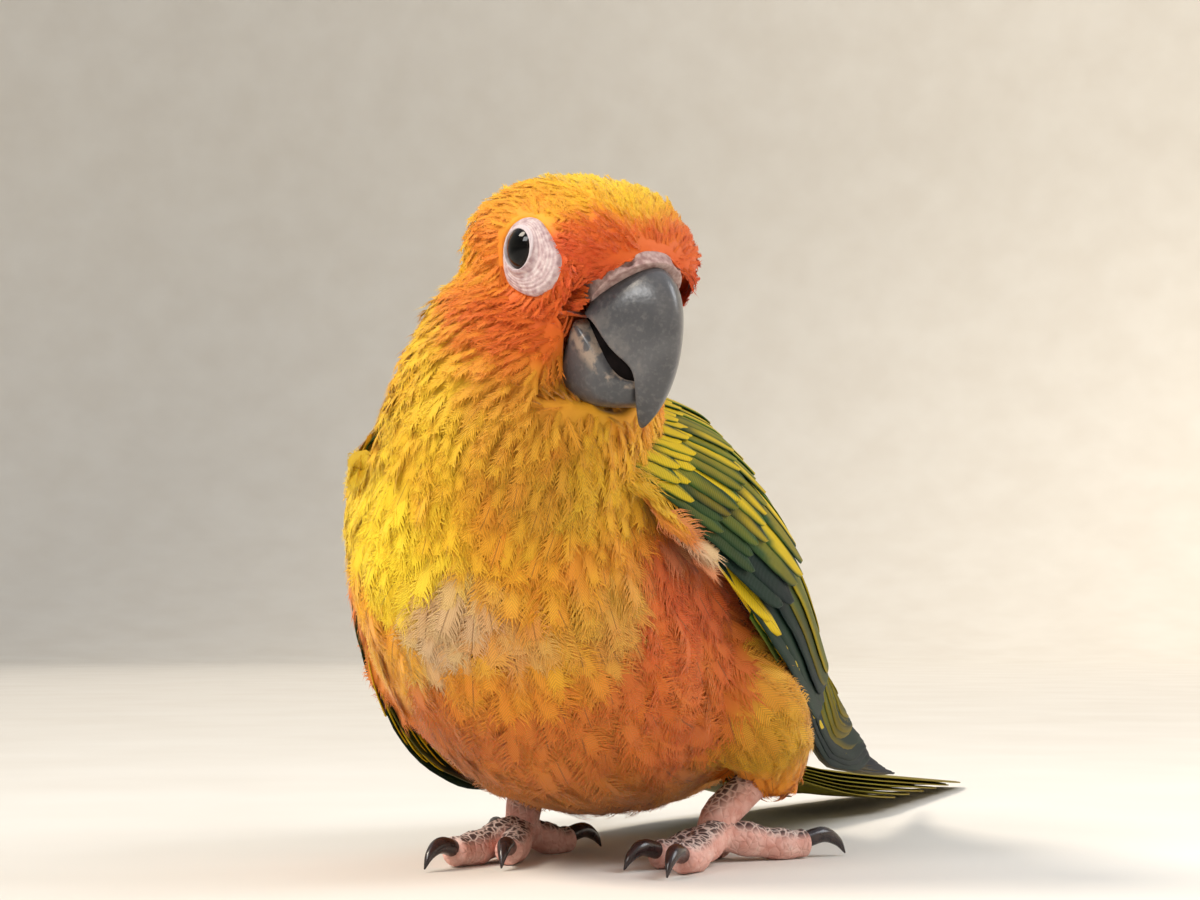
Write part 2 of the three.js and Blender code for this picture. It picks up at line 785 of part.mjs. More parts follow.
// Graduated pairs, the longest in the middle and on top, over a root in the rump
function tail() {
  const vanes = [];
  for (let i = 0; i < TAIL_PAIRS; i += 1) {
    const share = i / (TAIL_PAIRS - 1);
    for (const side of [-1, 1]) {
      vanes.push(
        tailVane({
          from: TAIL_ROOT_AT,
          to: TAIL_ROOT_AT + TAIL_LENGTH * mix(1, 0.55, share),
          rootSide: side * mix(1, 5.5, share),
          tipSide: side * mix(1.6, 10.5, share),
          width: mix(12, 10, share),
          rootOut: mix(2, -3, share) + side * 0.2,
          out: mix(2.2, -2.2, share) + side * 0.2,
        }),
      );
    }
  }
  const root = loft(
    TAIL_ROOT.map(({ at, wide, high }) => {
      const { point, back } = spine(at);
      return section(point, new THREE.Vector3(1, 0, 0), back, wide, high, high, 14);
    }),
  );
  return without(joined([root, ...vanes]), underFloor());
}

// Everything under the floor, which trims soles and tail to small flats
function underFloor() {
  const block = new THREE.BoxGeometry(400, 600, FLOOR_SLICE).translate(0, 0, -FLOOR_SLICE / 2);
  return solid(block);
}

// A round limb along a list of points
function limb(places, radii, sides, rings, swell = () => 1) {
  const path = new THREE.CatmullRomCurve3(places.map(([x, y, z]) => new THREE.Vector3(x, y, z)));
  const stations = radii.map((radius, i) => ({ at: i / (radii.length - 1), radius }));
  const made = [];
  for (let i = 0; i <= rings; i += 1) {
    const t = i / rings;
    const point = path.getPoint(t);
    const along = path.getTangent(t);
    const guess = Math.abs(along.z) > 0.9 ? new THREE.Vector3(1, 0, 0) : new THREE.Vector3(0, 0, 1);
    const across = new THREE.Vector3().crossVectors(along, guess).normalize();
    const up = new THREE.Vector3().crossVectors(across, along).normalize();
    const radius = read(stations, "radius", t) * swell(t);
    made.push(section(point, across, up, radius, radius, radius, sides));
  }
  return loft(made);
}

function thigh(leg, grow) {
  return limb(leg.thigh, leg.thigh.map((place) => place[3] + grow), 18, 9);
}

// The heading of a toe over the floor, in the bird's frame
function toeWay(leg, toe) {
  const turn = radians(leg.heading + leg.side * toe.heading);
  return new THREE.Vector3(Math.sin(turn), -Math.cos(turn), 0);
}

function toeBody(leg, toe) {
  const way = toeWay(leg, toe);
  const [x, y, z] = leg.foot;
  const at = (out, high) => [x + way.x * out, y + way.y * out, high];
  const lift = toe.radius - 0.22;
  const places = [
    at(-1, z),
    at(toe.reach * 0.32, lift + 1.1),
    at(toe.reach * 0.7, lift),
    at(toe.reach, lift + 0.15),
  ];
  const r = toe.radius;
  const pads = (t) => 1 + 0.07 * Math.cos(2 * Math.PI * toe.pads * t);
  return limb(places, [r * 1.12, r * 1.04, r, r * 0.84], 8, 6, pads);
}

function claw(leg, toe) {
  const way = toeWay(leg, toe);
  const [x, y] = leg.foot;
  const start = toe.reach + GAP;
  const at = (out, high) => [x + way.x * (start + out), y + way.y * (start + out), high];
  const rise = toe.radius + 0.25;
  const places = [
    at(0, rise),
    at(CLAW_REACH * 0.38, rise + 0.75),
    at(CLAW_REACH * 0.78, rise - 0.35),
    at(CLAW_REACH, 0.45),
  ];
  const r = CLAW_RADIUS;
  return limb(places, [r, r * 0.92, r * 0.58, 0.22], 8, 4);
}

function foot(leg) {
  const [x, y, z] = leg.foot;
  const shank = limb([leg.heel, [x, y + 0.6, z + 2.2], [x, y, z - 1.4]], [2.6, 2.7, 2.6], 10, 4);
  const toes = Object.values(TOES).map((toe) => toeBody(leg, toe));
  return without(joined([shank, ...toes]), underFloor());
}

const bird = new THREE.Group();
const add = (name, body, finish) => bird.add(piece(name, body, finish));

const upperBill = billHalf(UPPER_BILL, 0, UPPER_KEEL);
const lowerBill = billHalf(LOWER_BILL, 0, LOWER_KEEL);
const billRoom = billHalf(UPPER_BILL, GAP, UPPER_KEEL).add(billHalf(LOWER_BILL, GAP, LOWER_KEEL));
const cere = without(cereBand(0), billRoom, nostril(1), nostril(-1));
let head = without(headCore(0), billRoom, cereBand(GAP));
for (const [name, side] of Object.entries({ left: 1, right: -1 })) {
  add(`eye_${name}`, eyeBall(side, 0), "eye");
  add(`eye_ring_${name}`, without(eyeRing(side, 0), eyeBall(side, GAP)), "ring");
  head = without(head, eyeBall(side, GAP), eyeSocket(side));
}
add("head", head, "orange");
add("cere", cere, "ring");
add("bill_upper", upperBill, "horn");
add("bill_lower", without(lowerBill, billHalf(UPPER_BILL, GAP, UPPER_KEEL)), "horn");
add("neck", without(neck(0), headCore(GAP), trunk(GAP), billRoom), "yellow");
add("torso", trunk(0), "orange");

for (const [name, leg] of Object.entries(FEET)) {
  add(`thigh_${name}`, without(thigh(leg, 0), trunk(GAP)), "orange");
  add(`foot_${name}`, without(foot(leg), thigh(leg, GAP), trunk(GAP)), "skin");
  for (const [toeName, toe] of Object.entries(TOES)) {
    add(`claw_${name}_${toeName}`, claw(leg, toe), "claw");
  }
  const folded = without(wing(leg.side), trunk(GAP), neck(GAP), thigh(leg, GAP));
  add(`wing_${name}`, folded, "green");
}
add("tail", without(tail(), trunk(GAP)), "slate");

// The origin goes on the floor, under the middle of the bounding box
const box = new THREE.Box3().setFromObject(bird);
const middle = box.getCenter(new THREE.Vector3());
bird.position.set(-middle.x, -middle.y, -box.min.z);

export default bird;
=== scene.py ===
# A sun conure, life size, dressed over its CAD frame with feathers, horn and bare skin.
# Lengths in the settings are millimetres in the bird's own frame: it faces -y, and its left is +x.
# A side is 1 for the bird's left and -1 for its right.
import math

import bmesh
import bpy
import numpy as np
from mathutils import Matrix, Vector
from mathutils.bvhtree import BVHTree


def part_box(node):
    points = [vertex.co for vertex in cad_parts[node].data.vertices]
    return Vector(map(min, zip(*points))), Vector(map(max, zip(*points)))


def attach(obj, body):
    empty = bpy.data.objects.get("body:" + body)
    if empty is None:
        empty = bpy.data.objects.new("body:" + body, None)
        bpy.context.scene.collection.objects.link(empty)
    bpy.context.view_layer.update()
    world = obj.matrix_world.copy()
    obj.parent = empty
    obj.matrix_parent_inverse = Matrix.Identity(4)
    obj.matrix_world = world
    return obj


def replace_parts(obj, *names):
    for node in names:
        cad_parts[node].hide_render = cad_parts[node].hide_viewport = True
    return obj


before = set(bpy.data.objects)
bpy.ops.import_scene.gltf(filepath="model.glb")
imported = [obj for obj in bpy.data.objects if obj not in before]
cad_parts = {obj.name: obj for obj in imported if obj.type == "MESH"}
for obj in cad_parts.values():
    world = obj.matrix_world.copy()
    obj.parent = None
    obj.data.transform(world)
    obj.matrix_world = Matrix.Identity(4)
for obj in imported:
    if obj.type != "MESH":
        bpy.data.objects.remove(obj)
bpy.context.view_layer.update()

rng = np.random.default_rng(7)
mm = 0.001

headPose = {"place": (19.7, -33.8, 83.1), "yaw": 58, "pitch": 17.5, "roll": -3}
eyeSettings = {"radius": 4.3, "spread": 9.2, "forward": 0.08, "up": 0.06, "cornea": 3.0, "bulge": 0.3}

headTurn = (
    Matrix.Rotation(math.radians(headPose["yaw"]), 3, "Z")
    @ Matrix.Rotation(math.radians(headPose["pitch"]), 3, "X")
    @ Matrix.Rotation(math.radians(headPose["roll"]), 3, "Y")
)


def onHead(left, forward, up):
    # a point given from between the eyes, in millimetres
    return Vector(headPose["place"]) + headTurn @ Vector((left, -forward, up))


def headWay(left, forward, up):
    return (headTurn @ Vector((left, -forward, up))).normalized()


lowCorner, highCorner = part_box("eye_left")
eyeCentre = (Vector(lowCorner) + Vector(highCorner)) / 2
birdOrigin = np.array(eyeCentre) - np.array(onHead(eyeSettings["spread"], 0, 0)) * mm


def toFrame(points):
    # millimetres in the bird's frame to metres in the CAD frame
    return np.asarray(points, dtype=float) * mm + birdOrigin


def toBird(points):
    return (np.asarray(points, dtype=float) - birdOrigin) / mm


def stations(keys, rows):
    table = np.array(rows, dtype=float)
    return {key: table[:, i] for i, key in enumerate(keys.split())}


def read(line, key, at):
    # a smooth curve through the stations
    at = np.asarray(at, dtype=float)
    places, values = line["at"], line[key]
    last = len(places) - 1
    after = np.minimum(np.arange(last + 1) + 1, last)
    before = np.maximum(np.arange(last + 1) - 1, 0)
    slopes = (values[after] - values[before]) / (places[after] - places[before])
    i = np.clip(np.searchsorted(places, at, side="left") - 1, 0, last - 1)
    span = places[i + 1] - places[i]
    t = np.clip((at - places[i]) / span, 0, 1)
    lean = t * (1 - t) ** 2 * slopes[i] - t * t * (1 - t) * slopes[i + 1]
    return (1 + 2 * t) * (1 - t) ** 2 * values[i] + t * t * (3 - 2 * t) * values[i + 1] + span * lean


def mix(a, b, t):
    return a + (b - a) * t


def ease(low, high, value):
    t = np.clip((value - low) / (high - low), 0, 1)
    return t * t * (3 - 2 * t)


def unit(vectors):
    return vectors / np.maximum(np.linalg.norm(vectors, axis=-1, keepdims=True), 1e-9)


spineLine = stations("at x y z", [
    (-48, 0, -42.5, 58), (-20, 0, -17.7, 45.4), (0, 0, 0, 36), (25, 0, 22.5, 25.2), (45, 0.5, 41.5, 18),
    (65, 2, 60.8, 12.2), (90, 4.4, 85.2, 7.4), (115, 6.8, 110, 4.6), (135, 8.8, 130, 2.8),
    (185, 13.8, 180, -1.7),
])
wingBed = stations("at wide above", [
    (-44, 15, 12), (-34, 21.4, 19.2), (-20, 26.2, 24.6), (-4, 28.3, 27), (12, 28.2, 25), (28, 26, 21.4),
    (45, 22.6, 15.2), (65, 19, 11), (90, 15.6, 8), (115, 12, 6.6),
])
wingEdges = {
    1: stations("at low high", [
        (-36, 8, 62), (-20, 2, 74), (0, 0, 78), (30, 1, 77), (55, 4, 66), (85, 10, 42), (115, 16, 27),
    ]),
    -1: stations("at low high", [
        (-36, 4, 62), (-20, -14, 74), (0, -38, 78), (22, -50, 77), (50, -36, 66), (85, -8, 42),
        (115, 12, 27),
    ]),
}
neckLine = [(0.5, -17, 42), (2, -24, 52), (5.5, -27.5, 61.5), (8.8, -28, 70), (11, -27, 77.5)]

# How the folded wings lie. Over their front the vanes lie thinner and the right wing is tucked in,
# and the left wing stands off the body's side, most at its middle. Each change starts at a place
# along the spine and takes a length.
wingFold = {
    "front": (12, 40), "thin": {1: 0.75, -1: 0.5}, "tuck": {1: 0, -1: 2.4}, "under": 0.7,
    "off": {1: 3.4, -1: 0}, "offGrows": (-40, 24), "offFades": (124, 70), "offShare": 0.4,
}


def spine(at):
    # places on the spine, and the way out through the back
    at = np.asarray(at, dtype=float)
    before, place, after = (np.stack([read(spineLine, key, at + step) for key in "xyz"], -1)
                            for step in (-1, 0, 1))
    tail = unit(after - before)
    return place, unit(np.stack([0 * tail[..., 0], -tail[..., 2], tail[..., 1]], -1))


def onWing(side, at, share, out):
    # along the spine, as a share of the way from the wing's lower edge to its upper, and outwards
    at = np.asarray(at, dtype=float)
    place, back = spine(at)
    edges, fold = wingEdges[side], wingFold
    turn = np.radians(mix(read(edges, "low", at), read(edges, "high", at), share))
    front = np.clip((fold["front"][0] - at) / fold["front"][1], 0, 1)
    grown = np.clip((at - fold["offGrows"][0]) / fold["offGrows"][1], 0, 1)
    faded = np.clip((fold["offFades"][0] - at) / fold["offFades"][1], 0, 1)
    off = fold["off"][side] * grown * faded * ease(0, fold["offShare"], share)
    lift = out * mix(1, fold["thin"][side], front) + off
    wide = read(wingBed, "wide", at) - fold["tuck"][side] * front + lift
    above = read(wingBed, "above", at) + lift
    sideways = side * wide * np.cos(np.where(turn < 0, turn * fold["under"], turn))
    return place + sideways[..., None] * np.array([1, 0, 0]) + (above * np.sin(turn))[..., None] * back


def wingArc(side, at):
    edges = wingEdges[side]
    return np.radians(read(edges, "high", at) - read(edges, "low", at)) * read(wingBed, "above", at)


def colour(code, alpha=1.0):
    # an sRGB hex value as Blender's linear colour
    parts = [int(code[i:i + 2], 16) / 255 for i in (1, 3, 5)]
    linear = [c / 12.92 if c <= 0.04045 else ((c + 0.055) / 1.055) ** 2.4 for c in parts]
    return (*linear, alpha)


def addNode(tree, kind, inputs=(), output=0, **settings):
    # a node with its settings by name, and its inputs as values or as outputs of other nodes.
    # A ramp's stops pair a place with a hex colour or a grey. It gives back the output asked for.
    node = tree.nodes.new(f"ShaderNode{kind}")
    for place, (at, shade) in enumerate(settings.pop("stops", ())):
        elements = node.color_ramp.elements
        element = elements[place] if place < len(elements) else elements.new(at)
        element.position = at
        element.color = colour(shade) if isinstance(shade, str) else (shade, shade, shade, 1)
    for name, value in settings.items():
        setattr(node, name, value)
    for socket, value in inputs.items() if isinstance(inputs, dict) else enumerate(inputs):
        if isinstance(value, bpy.types.NodeSocket):
            tree.links.new(value, node.inputs[socket])
        else:
            node.inputs[socket].default_value = value
    return node.outputs[output]


def newMaterial(name, shader):
    material = bpy.data.materials.new(name)
    material.use_nodes = True
    tree = material.node_tree
    surface = next(n for n in tree.nodes if n.type == "BSDF_PRINCIPLED")
    for socket, value in shader.items():
        surface.inputs[socket].default_value = value
    return material, tree, surface


def finishSurface(tree, surface, shade, height=None, strength=0.3, deep=0.12):
    # the colour, and a fine relief this many millimetres deep
    tree.links.new(shade, surface.inputs["Base Color"])
    if height is not None:
        relief = addNode(tree, "Bump", {"Strength": strength, "Distance": deep * mm, "Height": height})
        tree.links.new(relief, surface.inputs["Normal"])


def featherLines(tree):
    # barbs: fine lines that leave the shaft and lean towards the tip, counted by the mesh itself
    barb = addNode(tree, "Attribute", output="Fac", attribute_name="barb")
    turn = addNode(tree, "Math", (barb, 2 * math.pi), operation="MULTIPLY")
    wave = addNode(tree, "Math", (turn,), operation="SINE")
    return addNode(tree, "Math", (wave, 0.5, 0.5), operation="MULTIPLY_ADD")


def attributeParts(tree, name):
    # the three values that the mesh carries under this name
    whole = addNode(tree, "Attribute", output="Vector", attribute_name=name)
    return addNode(tree, "SeparateXYZ", (whole,)).node.outputs


plumageLook = {
    "warmth": [(0.0, "#FFDF24"), (0.25, "#FDC21A"), (0.5, "#F79A1C"), (0.75, "#EB6A18"), (1.0, "#D64212")],
    "cloud": 8.0, "clouded": 0.42, "vary": 0.14,
    # the root colour is partly the deeper colour of a feather's base, partly painted shade under the
    # feathers over it
    "olive": "#8F8B2A", "down": "#C9BDB4", "root": "#D98A1E", "rootShade": 0.14,
    "shaft": 0.035, "shaftFrom": 0.75, "shaftShare": 0.55, "shaftColour": "#5B3A1A",
    # the colour between the barbs is painted shade in the gaps between them
    "between": "#A0641A", "lines": 0.28,
}


def plumageMaterial(name, look):
    # contour feathers: soft keratin barbs with carotenoid colour, matt with a faint silky sheen
    material, tree, surface = newMaterial(name, {
        "Roughness": 0.62, "IOR": 1.5, "Specular IOR Level": 0.35, "Sheen Weight": 0.18,
        "Sheen Roughness": 0.4})
    warm, olive, down = attributeParts(tree, "zone")
    across, along, tint = attributeParts(tree, "lay")
    lines = featherLines(tree)
    place = addNode(tree, "TexCoord", output="Object")
    cloud = addNode(tree, "TexNoise", {"Vector": place, "Scale": 1 / (look["cloud"] * mm)})
    heat = warm
    for source, amount in ((cloud, look["clouded"]), (tint, look["vary"])):
        spread = addNode(tree, "Math", (source, 0.5), operation="SUBTRACT")
        heat = addNode(tree, "Math", (spread, amount, heat), operation="MULTIPLY_ADD")
    shade = addNode(tree, "ValToRGB", (heat,), stops=look["warmth"])
    linesOver = addNode(tree, "Math", (lines, 0.5), operation="ADD")
    oliveShare = addNode(tree, "Math", (olive, linesOver), operation="MULTIPLY")
    # towards its root each feather darkens: partly the deeper colour of its base, partly painted shade
    # under the feathers that overlap it
    toRoot = addNode(tree, "Math", (1.0, along), operation="SUBTRACT")
    rootShadeAndToneShare = addNode(tree, "Math", (toRoot, look["rootShade"]), operation="MULTIPLY")
    # the shaft shows as a thin dark line on some feathers
    aside = addNode(tree, "Math", (across,), operation="ABSOLUTE")
    narrow = addNode(tree, "Math", (aside, look["shaft"]), operation="LESS_THAN")
    some = addNode(tree, "Math", (tint, look["shaftFrom"]), operation="GREATER_THAN")
    shown = addNode(tree, "Math", (narrow, some), operation="MULTIPLY")
    shaftShare = addNode(tree, "Math", (shown, look["shaftShare"]), operation="MULTIPLY")
    # the darker colour between the barbs is painted shade in the gaps between them
    barbGapShadeShare = addNode(tree, "Math", (lines, look["lines"]), operation="MULTIPLY")
    for share, code in ((oliveShare, look["olive"]), (down, look["down"]), (rootShadeAndToneShare, look["root"]),
                        (shaftShare, look["shaftColour"]), (barbGapShadeShare, look["between"])):
        shade = addNode(tree, "Mix", {0: share, 6: shade, 7: colour(code)}, 2, data_type="RGBA")
    finishSurface(tree, surface, shade, lines, 0.35)
    return material


vaneLook = {
    "greens": [(0.25, "#0F2A14"), (0.5, "#214A1C"), (0.8, "#477026")], "cloud": 7.0, "clouded": 0.6,
    "vary": 0.4, "navy": "#0C1224", "yellow": "#E0BE14", "under": "#E08A1E",
    # the colour between the barbs is painted shade in the gaps between them
    "between": "#152A1C", "lines": 0.25, "shaft": 0.035, "shaftShare": 0.7, "shaftColour": "#20201C",
}


def vaneMaterial(name, look):
    # flight feathers: tight webs of keratin, smoother than the body's, with a faint gloss
    material, tree, surface = newMaterial(name, {
        "Roughness": 0.58, "IOR": 1.54, "Specular IOR Level": 0.12})
    yellow, navy, under = attributeParts(tree, "zone")
    across, _, tint = attributeParts(tree, "lay")
    lines = featherLines(tree)
    place = addNode(tree, "TexCoord", output="Object")
    cloud = addNode(tree, "TexNoise", {"Vector": place, "Scale": 1 / (look["cloud"] * mm)})
    varied = addNode(tree, "Math", (tint, look["vary"]), operation="MULTIPLY")
    green = addNode(tree, "Math", (cloud, look["clouded"], varied), operation="MULTIPLY_ADD")
    shade = addNode(tree, "ValToRGB", (green,), stops=look["greens"])
    # the darker colour between the barbs is painted shade in the gaps between them
    barbGapShadeShare = addNode(tree, "Math", (lines, look["lines"]), operation="MULTIPLY")
    aside = addNode(tree, "Math", (across,), operation="ABSOLUTE")
    narrow = addNode(tree, "Math", (aside, look["shaft"]), operation="LESS_THAN")
    shaftShare = addNode(tree, "Math", (narrow, look["shaftShare"]), operation="MULTIPLY")
    for share, code in ((navy, look["navy"]), (yellow, look["yellow"]), (under, look["under"]),
                        (barbGapShadeShare, look["between"]), (shaftShare, look["shaftColour"])):
        shade = addNode(tree, "Mix", {0: share, 6: shade, 7: colour(code)}, 2, data_type="RGBA")
    finishSurface(tree, surface, shade, lines, 0.3, 0.1)
    return material


def addAttribute(mesh, key, values):
    # one value, or one vector, for each point of a mesh
    values = np.asarray(values, dtype=np.float32)
    kind, field = ("FLOAT", "value") if values.ndim == 1 else ("FLOAT_VECTOR", "vector")
    mesh.attributes.new(key, kind, "POINT").data.foreach_set(field, values.ravel())


def meshTable(items, key, width, kind=np.float32):
    # one of a mesh's own tables as an array
    values = np.zeros(len(items) * width, dtype=kind)
    items.foreach_get(key, values)
    return values.reshape(-1, width)


def addPiece(name, mesh, material, body="root"):
    mesh.shade_smooth()
    mesh.materials.append(material)
    piece = bpy.data.objects.new(name, mesh)
    bpy.context.scene.collection.objects.link(piece)
    if body:
        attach(piece, body)
    return piece


def meshPiece(name, points, faces, material, attributes, uv):
    # feathers joined from arrays: points in metres, faces all triangles or all quads
    mesh = bpy.data.meshes.new(name)
    corners = faces.shape[1]
    mesh.vertices.add(len(points))
    mesh.vertices.foreach_set("co", points.astype(np.float32).ravel())
    mesh.loops.add(faces.size)
    mesh.loops.foreach_set("vertex_index", faces.astype(np.int32).ravel())
    mesh.polygons.add(len(faces))
    mesh.polygons.foreach_set("loop_start", np.arange(0, faces.size, corners, dtype=np.int32))
    mesh.update(calc_edges=True)
    for key, values in attributes.items():
        addAttribute(mesh, key, values)
    layer = mesh.uv_layers.new(name="OFBake")
    layer.data.foreach_set("uv", uv[faces.ravel()].astype(np.float32).ravel())
    return addPiece(name, mesh, material)


def bmeshPiece(name, made, material, body="root"):
    bmesh.ops.recalc_face_normals(made, faces=made.faces)
    mesh = bpy.data.meshes.new(name)
    made.to_mesh(mesh)
    made.free()
    return addPiece(name, mesh, material, body)


def roundOff(piece, levels):
    soften = piece.modifiers.new("smoothSurface", "SUBSURF")
    soften.levels = soften.render_levels = levels


def loft(made, rings, closed=True):
    # rings of points joined one to the next, with both ends closed unless they stay open
    loops = []
    for ring in rings:
        verts = [made.verts.new(point) for point in ring]
        loops.append([made.edges.new((a, b)) for a, b in zip(verts, verts[1:] + verts[:1])])
    for one, two in zip(loops, loops[1:]):
        bmesh.ops.bridge_loops(made, edges=one + two)
    for end in (loops[0], loops[-1]) if closed else ():
        bmesh.ops.holes_fill(made, edges=end)


# The skin lies this deep under the CAD surface, changing between these distances from the bill
skinSettings = {
    "nodes": ("head", "neck", "torso", "thigh_left", "thigh_right"), "voxel": 0.9, "smooth": 10,
    "depth": (0.6, 1.3), "depthChanges": (14, 50),
}


def joinedCopies(names):
    made = bmesh.new()
    for name in names:
        made.from_mesh(bpy.data.objects[name].data)
    bmesh.ops.remove_doubles(made, verts=made.verts, dist=1e-6)
    mesh = bpy.data.meshes.new("flesh")
    made.to_mesh(mesh)
    made.free()
    return mesh


def finished(thing):
    # the mesh with its modifiers applied
    evaluated = thing.evaluated_get(bpy.context.evaluated_depsgraph_get())
    mesh = bpy.data.meshes.new_from_object(evaluated)
    bpy.data.objects.remove(thing)
    return mesh


# How far the bare skin round an eye reaches and how high its rim stands over the eye's middle,
# by the angle from the bill's direction up towards the crown
ringShape = stations("at reach rim slope", [
    (-180, 4.3, 2.6, 0.2), (-140, 4.6, 2.5, 0.25), (-110, 5.4, 2.2, 0.35), (-80, 5.4, 2.1, 0.4),
    (-45, 6.0, 2.1, 0.5), (-20, 6.6, 2.1, 0.6), (0, 6.8, 2.1, 0.5), (15, 6.5, 2.1, 0.5),
    (35, 5.2, 2.2, 0.6), (60, 4.4, 2.2, 0.8), (100, 4.25, 2.2, 1.0), (140, 4.25, 2.4, 0.6),
    (180, 4.3, 2.6, 0.2),
])
ringTilt = 0.245  # radians by which the ring's long corner points below the bill's direction


def aroundEye(points, side):
    # points in the eye's own frame: angle, distance from its axis and height, with the frame's axes
    up = np.array(headWay(side, eyeSettings["forward"], eyeSettings["up"]))
    bill = np.array(headWay(0, 1, -math.tan(ringTilt)))
    bill = unit(bill - up * (bill @ up))
    crown = np.cross(up, bill) * -side
    local = points - np.array(onHead(side * eyeSettings["spread"], 0, 0))
    x, y, z = local @ bill, local @ crown, local @ up
    return np.degrees(np.arctan2(y, x)), np.hypot(x, y), z, (bill, crown, up)


# How the skin is fitted to the face: under the rim of the bare ring, back from the root of the
# bill, and filled out at the nape and at the corners of the mouth
faceFit = {
    "underRim": 0.45, "ringInside": 1, "ringReach": 10, "ringDeep": -5,
    "napeAt": (-10.5, -8.5, 0), "napeHigh": 1.9, "napeReach": 6.5,
    "gap": 0.2, "billWide": 6.4, "flare": 0.3, "aside": 11, "below": -18, "above": 1.3,
    "cheekOut": (8, 6.8), "cheekIn": (5, 5.6), "cheekLow": (-9, -8), "cheekHigh": (-3, -4),
    "cheekFrom": 2.5, "cheekGap": 0.3,
}


def fillFace(points):
    fit = faceFit
    for side in (-1, 1):
        turn, far, high, (_, _, up) = aroundEye(points, side)
        reach, rim, slope = (read(ringShape, key, turn) for key in ("reach", "rim", "slope"))
        level = rim - fit["underRim"] - slope * np.maximum(far - reach, 0)
        beside = (far > reach - fit["ringInside"]) & (far < fit["ringReach"]) & (high > fit["ringDeep"])
        points = points + np.where(beside, np.maximum(level - high, 0), 0)[:, None] * up
    # loose feathers fill the back of the turned head
    middle = np.array(onHead(*fit["napeAt"]))
    swell = fit["napeHigh"] * np.exp(-((points - middle) ** 2).sum(1) / fit["napeReach"] ** 2)
    points = points + swell[:, None] * unit(points - np.array(headPose["place"]))
    left, forward, up = inHead(points).T
    aside = np.abs(left)
    limit = billLine(up) + fit["gap"] + fit["flare"] * np.maximum(aside - fit["billWide"], 0)
    front = (up < fit["above"]) & (up > fit["below"]) & (aside < fit["aside"])
    back = np.where(front, np.maximum(forward - limit, 0), 0)
    # the cheek fills the corner of the mouth
    corner = ease(*fit["cheekOut"], aside) * ease(*fit["cheekIn"], aside)
    corner = corner * ease(*fit["cheekLow"], up) * ease(*fit["cheekHigh"], up)
    ahead = corner * (forward > fit["cheekFrom"]) * np.maximum(limit - fit["cheekGap"] - forward, 0)
    return points + (ahead - back)[:, None] * np.array(headWay(0, 1, 0))


def billLine(up):
    # where the feathers end at the root of the bill, as distances forward
    return np.interp(up, [-18, -7.4, -6.5, -4, 1.2, 2.2], [3.8, 5.6, 7.8, 9.1, 12.9, 14])


def makeSkin(material):
    flesh = bpy.data.objects.new("flesh", joinedCopies(skinSettings["nodes"]))
    bpy.context.scene.collection.objects.link(flesh)
    remesh = flesh.modifiers.new("oneSkin", "REMESH")
    remesh.mode, remesh.voxel_size = "VOXEL", skinSettings["voxel"] * mm
    soften = flesh.modifiers.new("soften", "SMOOTH")
    soften.factor, soften.iterations = 0.5, skinSettings["smooth"]
    mesh = finished(flesh)
    points, normals = (meshTable(mesh.vertices, key, 3) for key in ("co", "normal"))
    depth = coatDepth(toBird(points))
    points = toFrame(fillFace(toBird(points - normals * depth[:, None] * mm)))
    mesh.vertices.foreach_set("co", points.astype(np.float32).ravel())
    mesh.update()
    mesh.name = "skin"
    skin = addPiece("skin", mesh, material)
    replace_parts(skin, *skinSettings["nodes"])
    return skin


# The middle line of the body, from the bill over the neck to the vent, in millimetres
bodyLine = [tuple(onHead(0, 10, -3)), tuple(onHead(0, 0, -3)), *neckLine[:0:-1]] + [
    tuple(spine(at)[0]) for at in (-14.0, 4.0, 24.0, 44.0, 64.0)]
lineStep, lineSoftened = 1.5, 6


def alongBody():
    # even samples of the softened middle line: places, directions and distance from the bill
    corners = np.array(bodyLine)
    lengths = np.r_[0, np.cumsum(np.linalg.norm(np.diff(corners, axis=0), axis=1))]
    steps = np.arange(0, lengths[-1], lineStep)
    places = np.stack([np.interp(steps, lengths, corners[:, i]) for i in range(3)], -1)
    for _ in range(lineSoftened):
        places[1:-1] = (places[:-2] + 2 * places[1:-1] + places[2:]) / 4
    return places, unit(np.gradient(places, axis=0)), steps


linePlaces, lineWays, lineSteps = alongBody()
thighLines = {
    1: np.array([(18, 4, 31), (23.5, 13, 22.5), (25, 19.5, 15), (24, 21.5, 9.6)]),
    -1: np.array([(-13, 4, 31), (-15, 12, 22.5), (-15.4, 17.5, 15), (-14.6, 18.8, 9.6)]),
}


# How softly the coat follows the middle line, and where and how much it turns down the legs
coatLie = {"soft": 160, "legNear": (12.5, 8.5), "legBelow": (26, 16), "legPull": 2.5}


def bodyField(points):
    # for points of the skin: the lie of the coat, the distance from the bill and the share of a leg
    gaps = ((points[:, None, :] - linePlaces[None]) ** 2).sum(-1)
    weights = np.exp(-(gaps - gaps.min(1, keepdims=True)) / coatLie["soft"])
    weights /= weights.sum(1, keepdims=True)
    way = unit(weights @ lineWays)
    far = weights @ lineSteps
    leg = np.zeros(len(points))
    for line in thighLines.values():
        for start, end in zip(line, line[1:]):
            span = end - start
            t = np.clip(((points - start) @ span) / (span @ span), 0, 1)
            gap = np.linalg.norm(points - (start + t[:, None] * span), axis=1)
            near = ease(*coatLie["legNear"], gap) * ease(*coatLie["legBelow"], points[:, 2])
            way = unit(way + (coatLie["legPull"] * near)[:, None] * unit(span))
            leg = np.maximum(leg, near)
    return way, far, leg


def inHead(points):
    # the head's own frame: left, forward, up
    turned = (points - np.array(headPose["place"])) @ np.array(headTurn)
    return turned * np.array([1, -1, 1])


def coatDepth(points):
    # how far the skin lies inside the CAD surface
    _, far, _ = bodyField(points)
    return mix(*skinSettings["depth"], ease(*skinSettings["depthChanges"], far))


